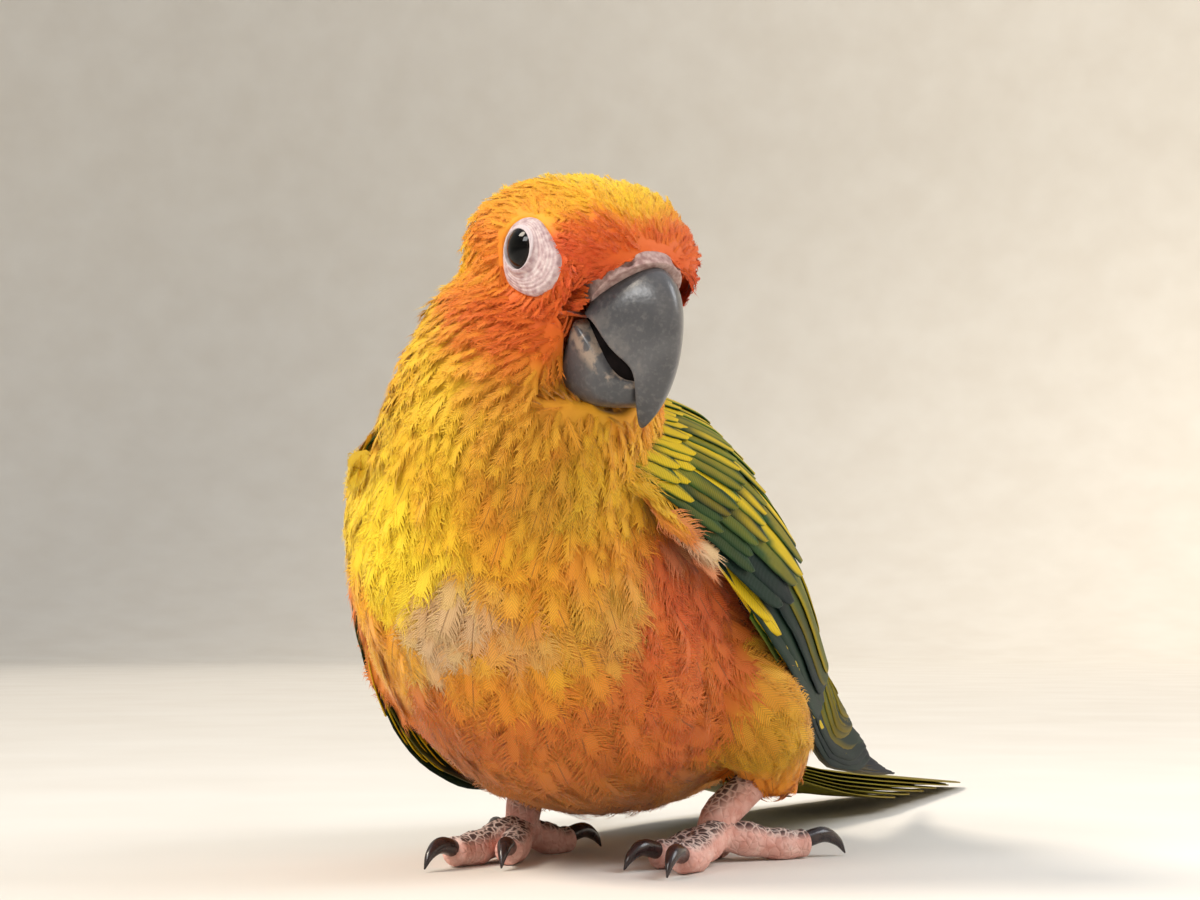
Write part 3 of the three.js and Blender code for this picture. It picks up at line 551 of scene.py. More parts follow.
# Markings: place, reach, then warmth (0 yellow, 1 red), olive and grey down.
# These places are left, forward and up from between the eyes.
headMarkings = {
    "forehead": ((0, 12, 2.5), 4, 0.92, 0.0, 0),
    "browLeft": ((7, 9, 4), 4.5, 0.86, 0.0, 0),
    "browRight": ((-7, 9, 4), 4.5, 0.9, 0.0, 0),
    "crownFront": ((0, 6, 8), 5, 0.15, 0.08, 0),
    "crownFrontLeft": ((6, 4, 8), 5, 0.1, 0.15, 0),
    "crownFrontRight": ((-6, 4, 8), 5, 0.3, 0.05, 0),
    "crown": ((0, 0, 10), 7, 0.06, 0.1, 0),
    "crownRear": ((0, -10, 8), 8, 0.02, 0.15, 0),
    "templeRight": ((-11, -4, 6), 5, 0.4, 0.05, 0),
    "templeLeft": ((11, -3, 5), 5, 0.45, 0.1, 0),
    "loresLeft": ((8, 8, -2), 5, 1.0, 0.0, 0),
    "loresRight": ((-8, 8, -2), 5, 1.0, 0.0, 0),
    "cheekLeft": ((11, 1, -9), 7, 0.86, 0.0, 0),
    "cheekRight": ((-11, 1, -9), 7, 0.86, 0.0, 0),
    "earLeft": ((12, -8, -4), 7, 0.75, 0.0, 0),
    "earRight": ((-12, -8, -4), 6, 0.6, 0.0, 0),
    "napeRight": ((-9, -14, -4), 6, 0.12, 0.1, 0),
    "nape": ((0, -18, 0), 9, 0.3, 0.25, 0),
    "chin": ((0, 3, -17), 6, 0.5, 0.0, 0),
    "jawRight": ((-10, -2, -16), 6, 0.55, 0.05, 0),
    "jawLeft": ((10, -2, -16), 6, 0.55, 0.05, 0),
}

# These places are in the bird's frame.
bodyMarkings = {
    "neckFront": ((12, -43, 60), 8, 0.42, 0.3, 0),
    "neckRight": ((-3, -43, 64), 9, 0.2, 0.15, 0),
    "neckLeft": ((24, -32, 58), 8, 0.35, 0.2, 0),
    "neckBack": ((8, -12, 66), 12, 0.2, 0.3, 0),
    "throatLow": ((16, -40, 51), 7, 0.35, 0.4, 0),
    "collarRight": ((0, -43, 52), 7, 0.25, 0.15, 0),
    "shoulderRight": ((-12, -40, 47), 8, -0.02, 0.0, 0),
    "shoulderSide": ((-22, -32, 46), 9, 0.0, 0.0, 0),
    "shoulderLow": ((-24, -28, 36), 8, 0.22, 0.0, 0),
    "breastYellow": ((-3, -43, 43), 8, -0.05, 0.0, 0),
    "breast": ((8, -41, 44), 7, 0.42, 0.1, 0),
    "breastLeft": ((17, -35, 40), 8, 0.45, 0.15, 0),
    "sideRight": ((-16, -33, 38), 7, 0.4, 0.0, 0),
    "downPatch": ((3, -41, 37.5), 4.5, 0.3, 0.1, 0.75),
    "downLow": ((-2, -38.5, 33), 4.0, 0.3, 0.2, 0.6),
    "downSmall": ((10, -36, 31), 4.0, 0.45, 0.3, 0.35),
    "oliveBand": ((20, -30, 36), 6, 0.4, 0.4, 0.1),
    "bellyUp": ((8, -33, 27), 8, 0.42, 0.15, 0),
    # the olive on the belly and lower flanks is partly their own colour, partly painted shade, darker low
    # down, away from the light above
    "belly": ((6, -22, 19), 10, 0.9, 0.35, 0),
    "bellyLow": ((2, -8, 10), 11, 0.85, 0.45, 0),
    "vent": ((0, 22, 6), 12, 0.5, 0.1, 0),
    "flankLeft": ((25, -14, 36), 9, 0.95, 0.14, 0),
    "flankLow": ((22, -8, 24), 9, 0.9, 0.22, 0),
    "flankRight": ((-24, -14, 34), 10, 0.6, 0.0, 0),
    "thighLeft": ((27, 14, 22), 8, 0.42, 0.4, 0),
    "shankLeft": ((26, 20, 12), 6, 0.55, 0.0, 0),
    "thighRight": ((-18, 14, 20), 8, 0.55, 0.1, 0),
    "back": ((0, 0, 60), 16, 0.15, 0.35, 0),
    "mantle": ((2, -22, 66), 12, 0.18, 0.25, 0),
    "rump": ((0, 34, 34), 14, 0.25, 0.3, 0),
}

# These places are by the front of the left wing: along it, a share of its height, and outwards.
wingMarkings = {
    "fringe": ((-20.0, -0.02, 1.0), 3.0, 0.3, 0.0, 0.7),
    "fringeLow": ((-13.0, -0.02, 0.6), 2.6, 0.3, 0.0, 0.8),
}
markings = [(tuple(onHead(*place)), *rest) for place, *rest in headMarkings.values()]
markings += bodyMarkings.values()
markings += [(tuple(onWing(1, *place)), *rest) for place, *rest in wingMarkings.values()]


markingEdge = 1.6  # how sharply one marking gives way to the next


def marked(points):
    # warmth, olive and down at points in the bird's frame
    places = np.array([spot[0] for spot in markings])
    reach = np.array([spot[1] for spot in markings])
    values = np.array([spot[2:] for spot in markings])
    gaps = np.linalg.norm(points[:, None, :] - places[None], axis=-1) / reach
    weights = np.exp(-markingEdge * gaps ** 2) + 1e-6 / (1 + gaps ** 4)
    return (weights @ values) / weights.sum(1, keepdims=True)


def unwrapSkin(skin):
    # an unwrap of the skin's own shape, which every feather's patch sits on
    mesh = skin.data
    mesh.uv_layers.new(name="OFBake")
    bpy.context.view_layer.objects.active = skin
    skin.select_set(True)
    bpy.ops.object.mode_set(mode="EDIT")
    bpy.ops.mesh.select_all(action="SELECT")
    bpy.ops.uv.smart_project(angle_limit=math.radians(66), island_margin=0.004)
    bpy.ops.object.mode_set(mode="OBJECT")
    skin.select_set(False)


def dressSkin(skin):
    # the skin carries the same markings as the feathers on it
    zone = marked(toBird(meshTable(skin.data.vertices, "co", 3)))
    addAttribute(skin.data, "zone", zone)
    # the skin lies as a feather's lower part, so it takes the root's darkening too, which is partly painted
    # shade
    addAttribute(skin.data, "lay", np.tile([0.5, 0.35, 0.5], (len(zone), 1)))


# By distance from the bill: spacing, length, width and how far the tip stands off the skin
coatSizes = stations("at spacing long wide lift", [
    (0, 0.6, 2.2, 0.8, 0.5), (10, 0.68, 3.0, 0.95, 0.7), (22, 0.85, 4.6, 1.6, 1.25),
    (36, 1.25, 6.8, 3.2, 1.15), (55, 2.0, 9.5, 5.8, 0.8), (80, 2.4, 12, 7.2, 0.75),
    (110, 2.5, 12.5, 7.2, 0.85), (140, 2.3, 11, 6.2, 0.8),
])
barbSpacing = 0.5  # real barbs lie closer, but finer lines would be lost in the picture
scatter = {"tries": 5, "apart": 0.8, "onLegs": 0.8}
# Along the spine, and inside the edges in degrees, a folded wing leaves the body without feathers
underWings = {"from": -31, "to": 58, "margin": 9}


def skinArrays(skin):
    mesh = skin.data
    mesh.calc_loop_triangles()
    triangles, loops = (meshTable(mesh.loop_triangles, key, 3, np.int32) for key in ("vertices", "loops"))
    uv = meshTable(mesh.uv_layers["OFBake"].data, "uv", 2)
    return meshTable(mesh.vertices, "co", 3), triangles, uv[loops]


def underWing(points):
    # True where a folded wing covers the body
    steps = np.arange(-40.0, 62.0, 2.0)
    places, backs = spine(steps)
    nearest = (((points[:, None, 1:] - places[None, :, 1:]) ** 2).sum(-1)).argmin(1)
    at = steps[nearest]
    away = points - places[nearest]
    high = (away * backs[nearest]).sum(1) / read(wingBed, "above", at)
    wide = np.abs(away[:, 0]) / read(wingBed, "wide", at)
    turn = np.degrees(np.arctan2(high, wide))
    within = (at > underWings["from"]) & (at < underWings["to"])
    covered = np.zeros(len(points), dtype=bool)
    for side, edges in wingEdges.items():
        low, top = (read(edges, key, at) for key in ("low", "high"))
        inside = (turn > low + underWings["margin"]) & (turn < top - underWings["margin"])
        covered |= inside & (points[:, 0] * side > 0) & within
    return covered


def scatterRoots(skin):
    # roots spread over the skin, closer together where the feathers are small
    points, triangles, uv = skinArrays(skin)
    corners = points[triangles]
    crossed = np.cross(corners[:, 1] - corners[:, 0], corners[:, 2] - corners[:, 0])
    areas = np.linalg.norm(crossed, axis=1) / 2 / mm ** 2
    middles = toBird(corners.mean(1))
    _, far, leg = bodyField(middles)
    gap = read(coatSizes, "spacing", far) * mix(1, scatter["onLegs"], leg)
    chance = areas / gap ** 2
    count = int(chance.sum() * scatter["tries"])
    picked = rng.choice(len(areas), count, p=chance / chance.sum())
    a, b = rng.random(count), rng.random(count)
    a, b = np.where(a + b > 1, 1 - a, a), np.where(a + b > 1, 1 - b, b)
    share = np.stack([1 - a - b, a, b], -1)
    places = toBird((corners[picked] * share[..., None]).sum(1))
    spots = (uv[picked] * share[..., None]).sum(1)
    normals = unit(crossed[picked])
    keep = ~bareFace(places) & ~underWing(places)
    places, spots, normals, gaps = places[keep], spots[keep], normals[keep], gap[picked][keep]
    chosen, taken = [], np.full((len(places), 3), 1e9)
    for i, (place, apart) in enumerate(zip(places, gaps)):
        n = len(chosen)
        if n == 0 or ((taken[:n] - place) ** 2).sum(1).min() > (apart * scatter["apart"]) ** 2:
            taken[n] = place
            chosen.append(i)
    return places[chosen], normals[chosen], spots[chosen]


def bareFace(points):
    # the eye's ring, the cere and the bill carry no feathers
    left, forward, up = inHead(points).T
    bare = (forward > billLine(up)) & (np.abs(left) < 6.4) & (up < 1.1) & (up > -17)
    for side in (-1, 1):
        turn, far, high, _ = aroundEye(points, side)
        bare |= (far < read(ringShape, "reach", turn) - 0.25) & (high > -3)
    return bare


parting = {"far": 3.5, "near": 0.4, "turned": 1.1, "outward": 0.3}


def partedRound(points, ways):
    # feathers part round the eye: next to the ring they lie outwards
    for side in (-1, 1):
        turn, far, high, (bill, crown, _) = aroundEye(points, side)
        reach = read(ringShape, "reach", turn)
        near = ease(reach + parting["far"], reach + parting["near"], far) * (high > -4)
        turn = np.radians(turn)
        outward = np.cos(turn)[:, None] * bill + np.sin(turn)[:, None] * crown
        inward = np.maximum(-(ways * outward).sum(1), 0)
        push = near * (parting["turned"] * inward + parting["outward"])
        ways = unit(ways + push[:, None] * outward)
    return ways


def webHalf(wide, v):
    # half the width of a feather's closed web, at a share of its length
    return wide * math.sin(math.pi * min(0.5, 0.12 + v * 0.62)) * (1 if v < 0.7 else 1 - (v - 0.7) * 1.6)


def featherShape(rows, barbs, tipBarbs, coreWide, fringe):
    # one contour feather lying flat: a short web whose edges end in loose barbs.
    # Returned: across, along, how free each point is, which barb it belongs to, and triangles.
    places, faces, barb = [], [], 1
    for v in np.linspace(0, 0.84, rows):
        half = webHalf(coreWide, v)
        places += [(-half, v - 0.08 * half, 0, 0), (0, v, 0, 0), (half, v - 0.08 * half, 0, 0)]
    for a in (row * 3 + column for row in range(rows - 1) for column in (0, 1)):
        faces += [(a, a + 1, a + 4), (a, a + 4, a + 3)]
    thick = 0.62 / barbs * 0.42
    blades = []
    for side in (-1, 1):
        for v in (mix(0.2, 0.82, k / (barbs - 1)) for k in range(barbs)):
            half, reach = webHalf(coreWide, v), fringe * mix(1.0, 0.75, v)
            blades.append([
                (side * half * 0.8, v - thick, 0), (side * half * 0.8, v + thick, 0),
                (side * (half + reach * 0.45), v + 0.1 - thick * 0.5, 0.5),
                (side * (half + reach * 0.42), v + 0.1 + thick * 0.5, 0.5),
                (side * (half + reach * 0.7), v + 0.24, 1)])
    for k in range(tipBarbs):
        lean, half = mix(-0.8, 0.8, k / max(tipBarbs - 1, 1)), coreWide * 0.16
        root, bent = lean * coreWide * 0.5, lean * coreWide * 0.8
        blades.append([(root - half * 0.5, 0.76, 0), (root + half * 0.5, 0.76, 0),
                       (bent - half * 0.3, 0.9, 0.5), (bent + half * 0.3, 0.9, 0.5),
                       (lean * coreWide * 0.95, 1.04 - 0.1 * abs(lean), 1)])
    for blade in blades:
        base = len(places)
        places += [(*point, barb) for point in blade]
        faces += [(base, base + 2, base + 3), (base, base + 3, base + 1), (base + 2, base + 4, base + 3)]
        barb += 1
    table = np.array(places, dtype=float)
    return {"across": table[:, 0], "along": table[:, 1], "free": table[:, 2],
            "barb": table[:, 3].astype(int), "barbs": barb, "faces": np.array(faces)}


# How unevenly the coat lies: turns in degrees, and shares of a feather's or a barb's own size
unruly = {"turn": 9, "drift": 8, "long": 0.14, "wide": 0.12, "lift": 0.3, "liftDrift": 0.12, "roll": 0.16,
          "barbAcross": 0.13, "barbAlong": 0.06, "barbHigh": 0.12, "barbTint": 0.22}
# How a feather lies: its root under the skin, its edges and tip bent down, and how far it may bend
# to the skin, as a share of its length
featherLie = {"sunk": 0.35, "curl": 0.1, "tipFrom": 0.7, "tipDrop": 0.5, "bendMost": 0.45, "sidesAt": 0.6}
patchSize = 0.0015  # how much of the bake map one body feather takes


def layCoat(name, shape, roots, normals, spots, ways, sizes, tree, material):
    # every feather of one part of the coat as one joined mesh
    n, m = len(roots), len(shape["across"])
    along = unit(ways - (ways * normals).sum(1, keepdims=True) * normals)
    across = np.cross(normals, along)
    drift = np.sin(roots @ np.array([0.31, 0.23, 0.19])) + np.sin(roots @ np.array([-0.17, 0.29, 0.37]))
    yaw = np.radians(unruly["turn"] * rng.standard_normal(n) + unruly["drift"] * drift)[:, None]
    along, across = (along * np.cos(yaw) + across * np.sin(yaw),
                     across * np.cos(yaw) - along * np.sin(yaw))
    long = (sizes["long"] * (1 + unruly["long"] * rng.standard_normal(n)))[:, None]
    wide = (sizes["wide"] * (1 + unruly["wide"] * rng.standard_normal(n)))[:, None] / 2
    loose = 1 + unruly["lift"] * rng.standard_normal(n) + unruly["liftDrift"] * drift
    lift = (sizes["lift"] * np.clip(loose, 0.4, 2))[:, None]
    roll = unruly["roll"] * rng.standard_normal((n, 1))
    # the middle and both sides of each feather bend to the skin under them
    bend = np.zeros((3, n, 3))
    sidesAt = featherLie["sidesAt"]
    for i, (u, v) in enumerate(((0, 1), (-1, sidesAt), (1, sidesAt))):
        flat = roots + along * long * v + across * wide * u
        found = np.array([tree.find_nearest(Vector(point))[0] for point in toFrame(flat)])
        bend[i] = toBird(found) - flat
        tooFar = np.linalg.norm(bend[i], axis=1, keepdims=True)
        bend[i] *= np.minimum(1, long * featherLie["bendMost"] / np.maximum(tooFar, 1e-6))
    free = shape["free"][None]
    wild = rng.standard_normal((3, n, shape["barbs"]))[:, :, shape["barb"]]
    u = np.tile(shape["across"], (n, 1)) + unruly["barbAcross"] * free * wild[0]
    v = np.tile(shape["along"], (n, 1)) + unruly["barbAlong"] * free * wild[1]
    middle = np.clip(v, 0, 1.2)
    points = roots[:, None] + along[:, None] * (long * v)[..., None]
    points = points + across[:, None] * (wide * u)[..., None] + bend[0][:, None] * (middle ** 2)[..., None]
    for i, sideways in ((1, u < 0), (2, u > 0)):
        share = sideways * u * u * np.minimum(middle, 0.7)
        points = points + (bend[i] - bend[0] * sidesAt ** 2)[:, None] * share[..., None]
    tipBeyond = np.maximum(middle - featherLie["tipFrom"], 0)
    high = lift * (middle ** 0.8) - featherLie["sunk"] * (1 - middle) - featherLie["curl"] * wide * u * u
    high = high + roll * u * wide + unruly["barbHigh"] * free * wild[2] * lift
    high = high - featherLie["tipDrop"] * lift * tipBeyond
    points = points + normals[:, None] * high[..., None]
    zone = np.repeat(marked(roots + along * long * 0.5), m, axis=0)
    tint = rng.random((n, 1))
    tint = tint + unruly["barbTint"] * (rng.random((n, shape["barbs"])) - 0.5)[:, shape["barb"]]
    lay = np.stack([u, v, tint], -1).reshape(-1, 3)
    barb = ((v - 0.5 * np.abs(u)) * long / barbSpacing + rng.random((n, 1))).ravel()
    patch = spots[:, None] + np.stack([u, v - 0.5], -1) * patchSize
    faces = (shape["faces"][None] + (np.arange(n) * m)[:, None, None]).reshape(-1, 3)
    made = meshPiece(name, toFrame(points.reshape(-1, 3)), faces, material,
                     {"zone": zone, "lay": lay, "barb": barb}, np.clip(patch.reshape(-1, 2), 0, 1))
    print(f"{name}: {n} feathers, {len(faces)} triangles")


# Each part of the coat: where it lies by distance from the bill, and its feathers' rows, side barbs,
# tip barbs, half width of the web and reach of the loose barbs
coatParts = {
    "plumage_face": {"from": 0, "to": 17, "shape": (3, 5, 3, 0.45, 0.6)},
    "plumage_head": {"from": 17, "to": 34, "shape": (4, 8, 5, 0.42, 0.7)},
    "plumage_neck": {"from": 34, "to": 52, "shape": (4, 16, 9, 0.4, 0.8)},
    "plumage_breast": {"from": 52, "to": 80, "shape": (5, 24, 13, 0.38, 0.85)},
    "plumage_belly": {"from": 80, "to": 400, "shape": (5, 24, 13, 0.38, 0.85)},
}
legCoat = {"long": 0.5, "wide": 0.6, "lift": 0.7, "lowest": 9.5}


def makeCoat(skin, material):
    roots, normals, spots = scatterRoots(skin)
    ways, far, leg = bodyField(roots)
    clear = (leg < 0.4) | (roots[:, 2] > legCoat["lowest"])  # lower ones would hang over the ankle
    roots, normals, spots, ways, far, leg = (
        rows[clear] for rows in (roots, normals, spots, ways, far, leg))
    ways = partedRound(roots, ways)
    tree = BVHTree.FromObject(skin, bpy.context.evaluated_depsgraph_get())
    sizes = {key: read(coatSizes, key, far) * mix(1, legCoat[key], leg) for key in ("long", "wide", "lift")}
    for name, part in coatParts.items():
        here = (far >= part["from"]) & (far < part["to"])
        layCoat(name, featherShape(*part["shape"]), roots[here], normals[here], spots[here], ways[here],
                {key: values[here] for key, values in sizes.items()}, tree, material)
    return spots


def vaneGrid(rows, columns):
    along = 1 - (1 - np.linspace(0, 1, rows)) ** 1.35
    across = np.linspace(-1, 1, columns)
    v, u = np.meshgrid(along, across, indexing="ij")
    a = (np.arange(rows - 1)[:, None] * columns + np.arange(columns - 1)[None]).ravel()
    faces = np.stack([a, a + 1, a + columns + 1, a + columns], -1)
    return u, v, faces


def vaneOutline(v, tipFrom, slim=0.45):
    base = mix(slim, 1, np.minimum(1, v / 0.35))
    left = np.clip((v - tipFrom) / (1 - tipFrom), 0, 1)
    return base * np.sqrt(np.maximum(1e-4, 1 - left ** 2))


# Breast feathers that fall over the front of each folded wing: where they stand, as distance along
# the spine and share of the wing's height, and the line of shares and distances where they end
sideCoats = {
    "right": {"side": -1, "at": (-42, 4), "share": (-0.12, 0.8), "low": 0.1, "rows": 30, "columns": 26,
              "edge": [(-0.12, 0), (0.1, -7), (0.5, -14), (0.8, -28)],
              "out": 2.2, "fall": 0.02, "climb": 0.04},
    "left": {"side": 1, "at": (-43, 0), "share": (-0.06, 0.55), "low": -0.06, "rows": 20, "columns": 18,
             "edge": [(-0.06, -21), (-0.01, -25), (0.02, -30), (0.06, -35), (0.3, -39), (0.55, -42)],
             "out": 1.8, "fall": 0.0, "climb": 0.0},
}
sideFeathers = {"shape": (5, 20, 9, 0.4, 0.8), "long": 9.0, "wide": 5.0, "lift": 0.8, "sunk": 0.6,
                "strayAlong": 1.2, "strayShare": 0.02, "bridge": 0.22, "bed": (-46, 50)}


def evenSizes(form, count):
    return {key: np.full(count, form[key]) for key in ("long", "wide", "lift")}


def sideSurface(form, skinTree, at, share, out):
    # the outer face of the folded wing, and before its lower edge a bridge from the breast
    side, low = form["side"], form["low"]
    start = onWing(side, at, low - 0.1 + 0 * share, -1 + 0 * at)
    body = np.array([skinTree.find_nearest(Vector(place))[0] for place in toFrame(start).reshape(-1, 3)])
    body = toBird(body).reshape(start.shape) + unit(start - spine(at)[0])
    reach = np.clip((share - low) / sideFeathers["bridge"] + 1, 0, 1)
    return mix(body, onWing(side, at, np.maximum(share, low), out + 0 * at), reach[..., None])


def makeSideCoat(name, form, skin, material, spots):
    skinTree = BVHTree.FromObject(skin, bpy.context.evaluated_depsgraph_get())
    # the bed that the feathers bend to
    low, high = form["share"]
    rows, columns = 48, 28
    at, share = np.meshgrid(np.linspace(*sideFeathers["bed"], rows), np.linspace(low - 0.04, 1.0, columns),
                            indexing="ij")
    bed = toFrame(sideSurface(form, skinTree, at, share, form["out"]))
    tree = BVHTree.FromPolygons([tuple(p) for p in bed.reshape(-1, 3)], vaneGrid(rows, columns)[2].tolist())
    at, share = np.meshgrid(np.linspace(*form["at"], form["rows"]), np.linspace(low, high, form["columns"]),
                            indexing="ij")
    at = (at + sideFeathers["strayAlong"] * rng.standard_normal(at.shape)).ravel()
    share = (share + sideFeathers["strayShare"] * rng.standard_normal(share.shape)).ravel()
    limits = np.array(form["edge"])
    kept = at < np.interp(share, limits[:, 0], limits[:, 1])
    at, share = at[kept], share[kept]
    fall = np.interp(share, [form["low"], form["low"] + 0.15], [-form["climb"], form["fall"]])
    roots, ahead, beside = (sideSurface(form, skinTree, along, up, form["out"] - sideFeathers["sunk"])
                            for along, up in ((at, share), (at + 1, share - fall), (at, share + 0.02)))
    ways = unit(ahead - roots)
    normals = unit(np.cross(ways, beside - roots))
    normals = normals * np.sign((normals * (roots - spine(at)[0])).sum(1, keepdims=True))
    picked = spots[rng.integers(0, len(spots), len(at))]
    layCoat(f"plumage_side_{name}", featherShape(*sideFeathers["shape"]), roots, normals, picked, ways,
            evenSizes(sideFeathers, len(at)), tree, material)


gapeTufts = {"count": 280, "forward": (3.2, 8.9), "up": (-9.2, -2.4), "left": 6.75, "slope": 0.45,
             "flare": 0.42, "shape": (3, 6, 4, 0.5, 0.6), "long": 2.6, "wide": 1.0, "lift": 0.35}


def makeGapeTufts(skin, material, spots):
    # small feathers that close the cheek round the corner of the mouth
    tree = BVHTree.FromObject(skin, bpy.context.evaluated_depsgraph_get())
    roots, ways, normals = [], [], []
    flare = gapeTufts["flare"]
    for side in (-1, 1):
        forward = rng.uniform(*gapeTufts["forward"], gapeTufts["count"])
        up = rng.uniform(*gapeTufts["up"], gapeTufts["count"])
        for ahead, high in zip(forward, up):
            if ahead < billLine(high) + 0.2:
                left = side * (gapeTufts["left"] + gapeTufts["slope"] * (gapeTufts["forward"][1] - ahead))
                roots.append(onHead(left, ahead, high))
                ways.append(headWay(side * flare, -1, -0.25))
                normals.append(headWay(side, flare, 0))
    roots, ways, normals = np.array(roots), np.array(ways), np.array(normals)
    layCoat("plumage_gape", featherShape(*gapeTufts["shape"]), roots, normals, spots[:len(roots)], ways,
            evenSizes(gapeTufts, len(roots)), tree, material)


# Rows of vanes on each wing. Each row runs from its first feather to its last, and each feather from
# its root to its tip, as distance along the spine and share of the wing's height.
wingTiers = {
    "underCoverts": {"count": 7, "from": ((-18, 0.16), (30, 0.15)), "to": ((-18, 0.34), (26, 0.36)),
                     "width": 8, "out": -0.8, "tipFrom": 0.7, "gap": -9, "look": "under"},
    "primaries": {"count": 9, "from": ((-2, 0.02), (114, 0.13)), "to": ((8, 0.3), (80, 0.4)),
                  "width": 9, "out": 1.3, "tipFrom": 0.74, "gap": 3.6, "look": "flight"},
    "secondaries": {"count": 13, "from": ((2, 0.08), (84, 0.18)), "to": ((4, 0.86), (58, 0.86)),
                    "width": 10.5, "out": 2.6, "tipFrom": 0.84, "gap": 4.8, "look": "secondary"},
    "marginCoverts": {"count": 15, "from": ((-16, 0.03), (4, 0.012)), "to": ((38, 0.02), (56, 0.02)),
                      "width": 2.6, "out": 2.4, "tipFrom": 0.6, "gap": 40, "look": "margin"},
    "greaterCoverts": {"count": 13, "from": ((-14, 0.06), (40, 0.07)), "to": ((-12, 0.9), (38, 0.84)),
                       "width": 8.0, "out": 3.0, "tipFrom": 0.74, "gap": 4.0, "look": "greater"},
    "medianCoverts": {"count": 12, "from": ((-28, 0.09), (4, 0.08)), "to": ((-24, 0.94), (15, 0.76)),
                      "width": 6.4, "out": 3.25, "tipFrom": 0.42, "gap": 3.8, "look": "median"},
    "lesserCovertsLow": {"count": 15, "from": ((-35, 0.1), (-10, 0.06)), "to": ((-32, 0.95), (-4, 0.7)),
                         "width": 5.0, "out": 3.35, "tipFrom": 0.4, "gap": 3.0, "look": "lesser"},
    "lesserCovertsMid": {"count": 16, "from": ((-39, 0.13), (-18, 0.07)), "to": ((-36, 0.97), (-13, 0.68)),
                         "width": 4.6, "out": 3.25, "tipFrom": 0.5, "gap": 2.8, "look": "lesser"},
    "lesserCovertsTop": {"count": 16, "from": ((-43, 0.16), (-26, 0.09)), "to": ((-41, 0.97), (-22, 0.66)),
                         "width": 4.4, "out": 2.9, "tipFrom": 0.5, "gap": 2.7, "look": "shoulder"},
}


def wingMarks(look, u, v, share, tint):
    # yellow, navy and orange shares over one feather; u is -1 at its lower, outer edge, which shows
    under = 0 * u
    front = float(ease(0.36, 0.2, share))
    if look == "flight":
        yellow, navy = 0.12 * ease(-0.85, -0.98, u), ease(0.0, 0.25, v) * 0.95 + 0.05
    elif look == "secondary":
        yellow = 0.4 * ease(-0.75, -0.97, u) * (1 - front)
        navy = np.maximum(ease(-0.4, -0.1, u), np.maximum(0.75 * ease(0.5, 0.85, v), 0.85 * front))
    elif look == "greater":
        yellow = (0.55 * ease(-0.72, -0.95, u) + 0.12) * (1 - front)
        navy = np.maximum(0.95 * ease(-0.3, -0.02, u), 0.72 * front)
    elif look == "median":
        oval = ((u + 0.45) / 0.36) ** 2 + ((v - 0.8 - 0.1 * (tint - 0.5)) / 0.34) ** 2
        yellow = ease(1.05, 0.75, oval) * (1 - front) * (0.3 if 0.3 < tint < 0.5 else 1)
        navy = np.maximum(0.8 * ease(-0.15, 0.2, u), 0.7 * front) * (1 - yellow)
    elif look == "margin":
        yellow, navy = 0.95 * ease(0.9, 0.6, u), 0.2 * ease(0.5, 0.9, u)
    elif look == "under":
        spot = ease(0.42, 0.28, np.hypot(u * 0.8, (v - 0.8) * 2.2))
        yellow, navy, under = 0 * u, spot, 1 - spot
    else:
        lesser = look == "lesser"
        streak = ease(0.36, 0.18, np.abs(u + 0.5)) if lesser else ease(0.6, 0.35, np.abs(u + 0.4))
        streak = streak * (0.35 if lesser and 0.45 < tint < 0.75 else 1)
        held = (0.9 if lesser else 0.2) * front
        yellow = 0.95 * ease(0.35, 0.6, v + 0.5 * (tint - 0.5)) * streak * (1 - held)
        navy = np.maximum(0.5 * ease(-0.1, 0.5, u), 0.5 * held) * (1 - yellow)
    return yellow, navy, under


# How vanes lie: barbs lean towards the tip, each web is cambered, slopes under the next and has
# faint ripples along its edges, and the feathers stray a little. The right wing's feathers start
# a share above its lower edge.
vaneLie = {"lean": 0.9, "camber": 0.35, "sweep": 0.35, "slope": 0.9, "rootOut": 0.4, "ripple": 0.015,
           "ripples": 37, "strayTip": 1.4, "strayOut": 0.12, "thick": 0.16, "leastArc": 14,
           "from": {1: 0, -1: 0.08}}


def vaneRow(points, zone, u, v, tint, reach, half):
    # what joinVanes needs of one feather: its points, colours, lay and count of barbs
    barb = (v * reach - vaneLie["lean"] * np.abs(u) * half) / barbSpacing
    lay = np.stack([u, v, 0 * u + tint], -1)
    return points.reshape(-1, 3), np.stack(zone, -1).reshape(-1, 3), lay.reshape(-1, 3), barb.ravel()


def wingFeathers(side, tier, u, v):
    ragged = vaneLie["strayTip"] * rng.standard_normal(tier["count"])
    rows = []
    for i, share in enumerate(np.linspace(0, 1, tier["count"])):
        root, tip = ([mix(tier["from"][end][k], tier["to"][end][k], share) for k in (0, 1)]
                     for end in (0, 1))
        tip[0] += ragged[i]
        ripple = 1 + vaneLie["ripple"] * np.sin(vaneLie["ripples"] * v + 9 * i)
        half = tier["width"] / 2 * vaneOutline(v, tier["tipFrom"]) * ripple
        at = mix(root[0], tip[0], v) - np.abs(u) * half * vaneLie["sweep"] * v
        place = mix(root[1], tip[1], v) + u * half / np.maximum(wingArc(side, at), vaneLie["leastArc"])
        place = mix(vaneLie["from"][side], 1, place)
        out = mix(vaneLie["rootOut"], tier["out"], v) - vaneLie["slope"] * u * half / tier["gap"]
        out = out + vaneLie["camber"] * (1 - u ** 2) + vaneLie["strayOut"] * rng.standard_normal()
        tint = rng.random()
        rows.append(vaneRow(onWing(side, at, place, out), wingMarks(tier["look"], u, v, root[1], tint),
                            u, v, tint, tip[0] - root[0], half))
    return rows


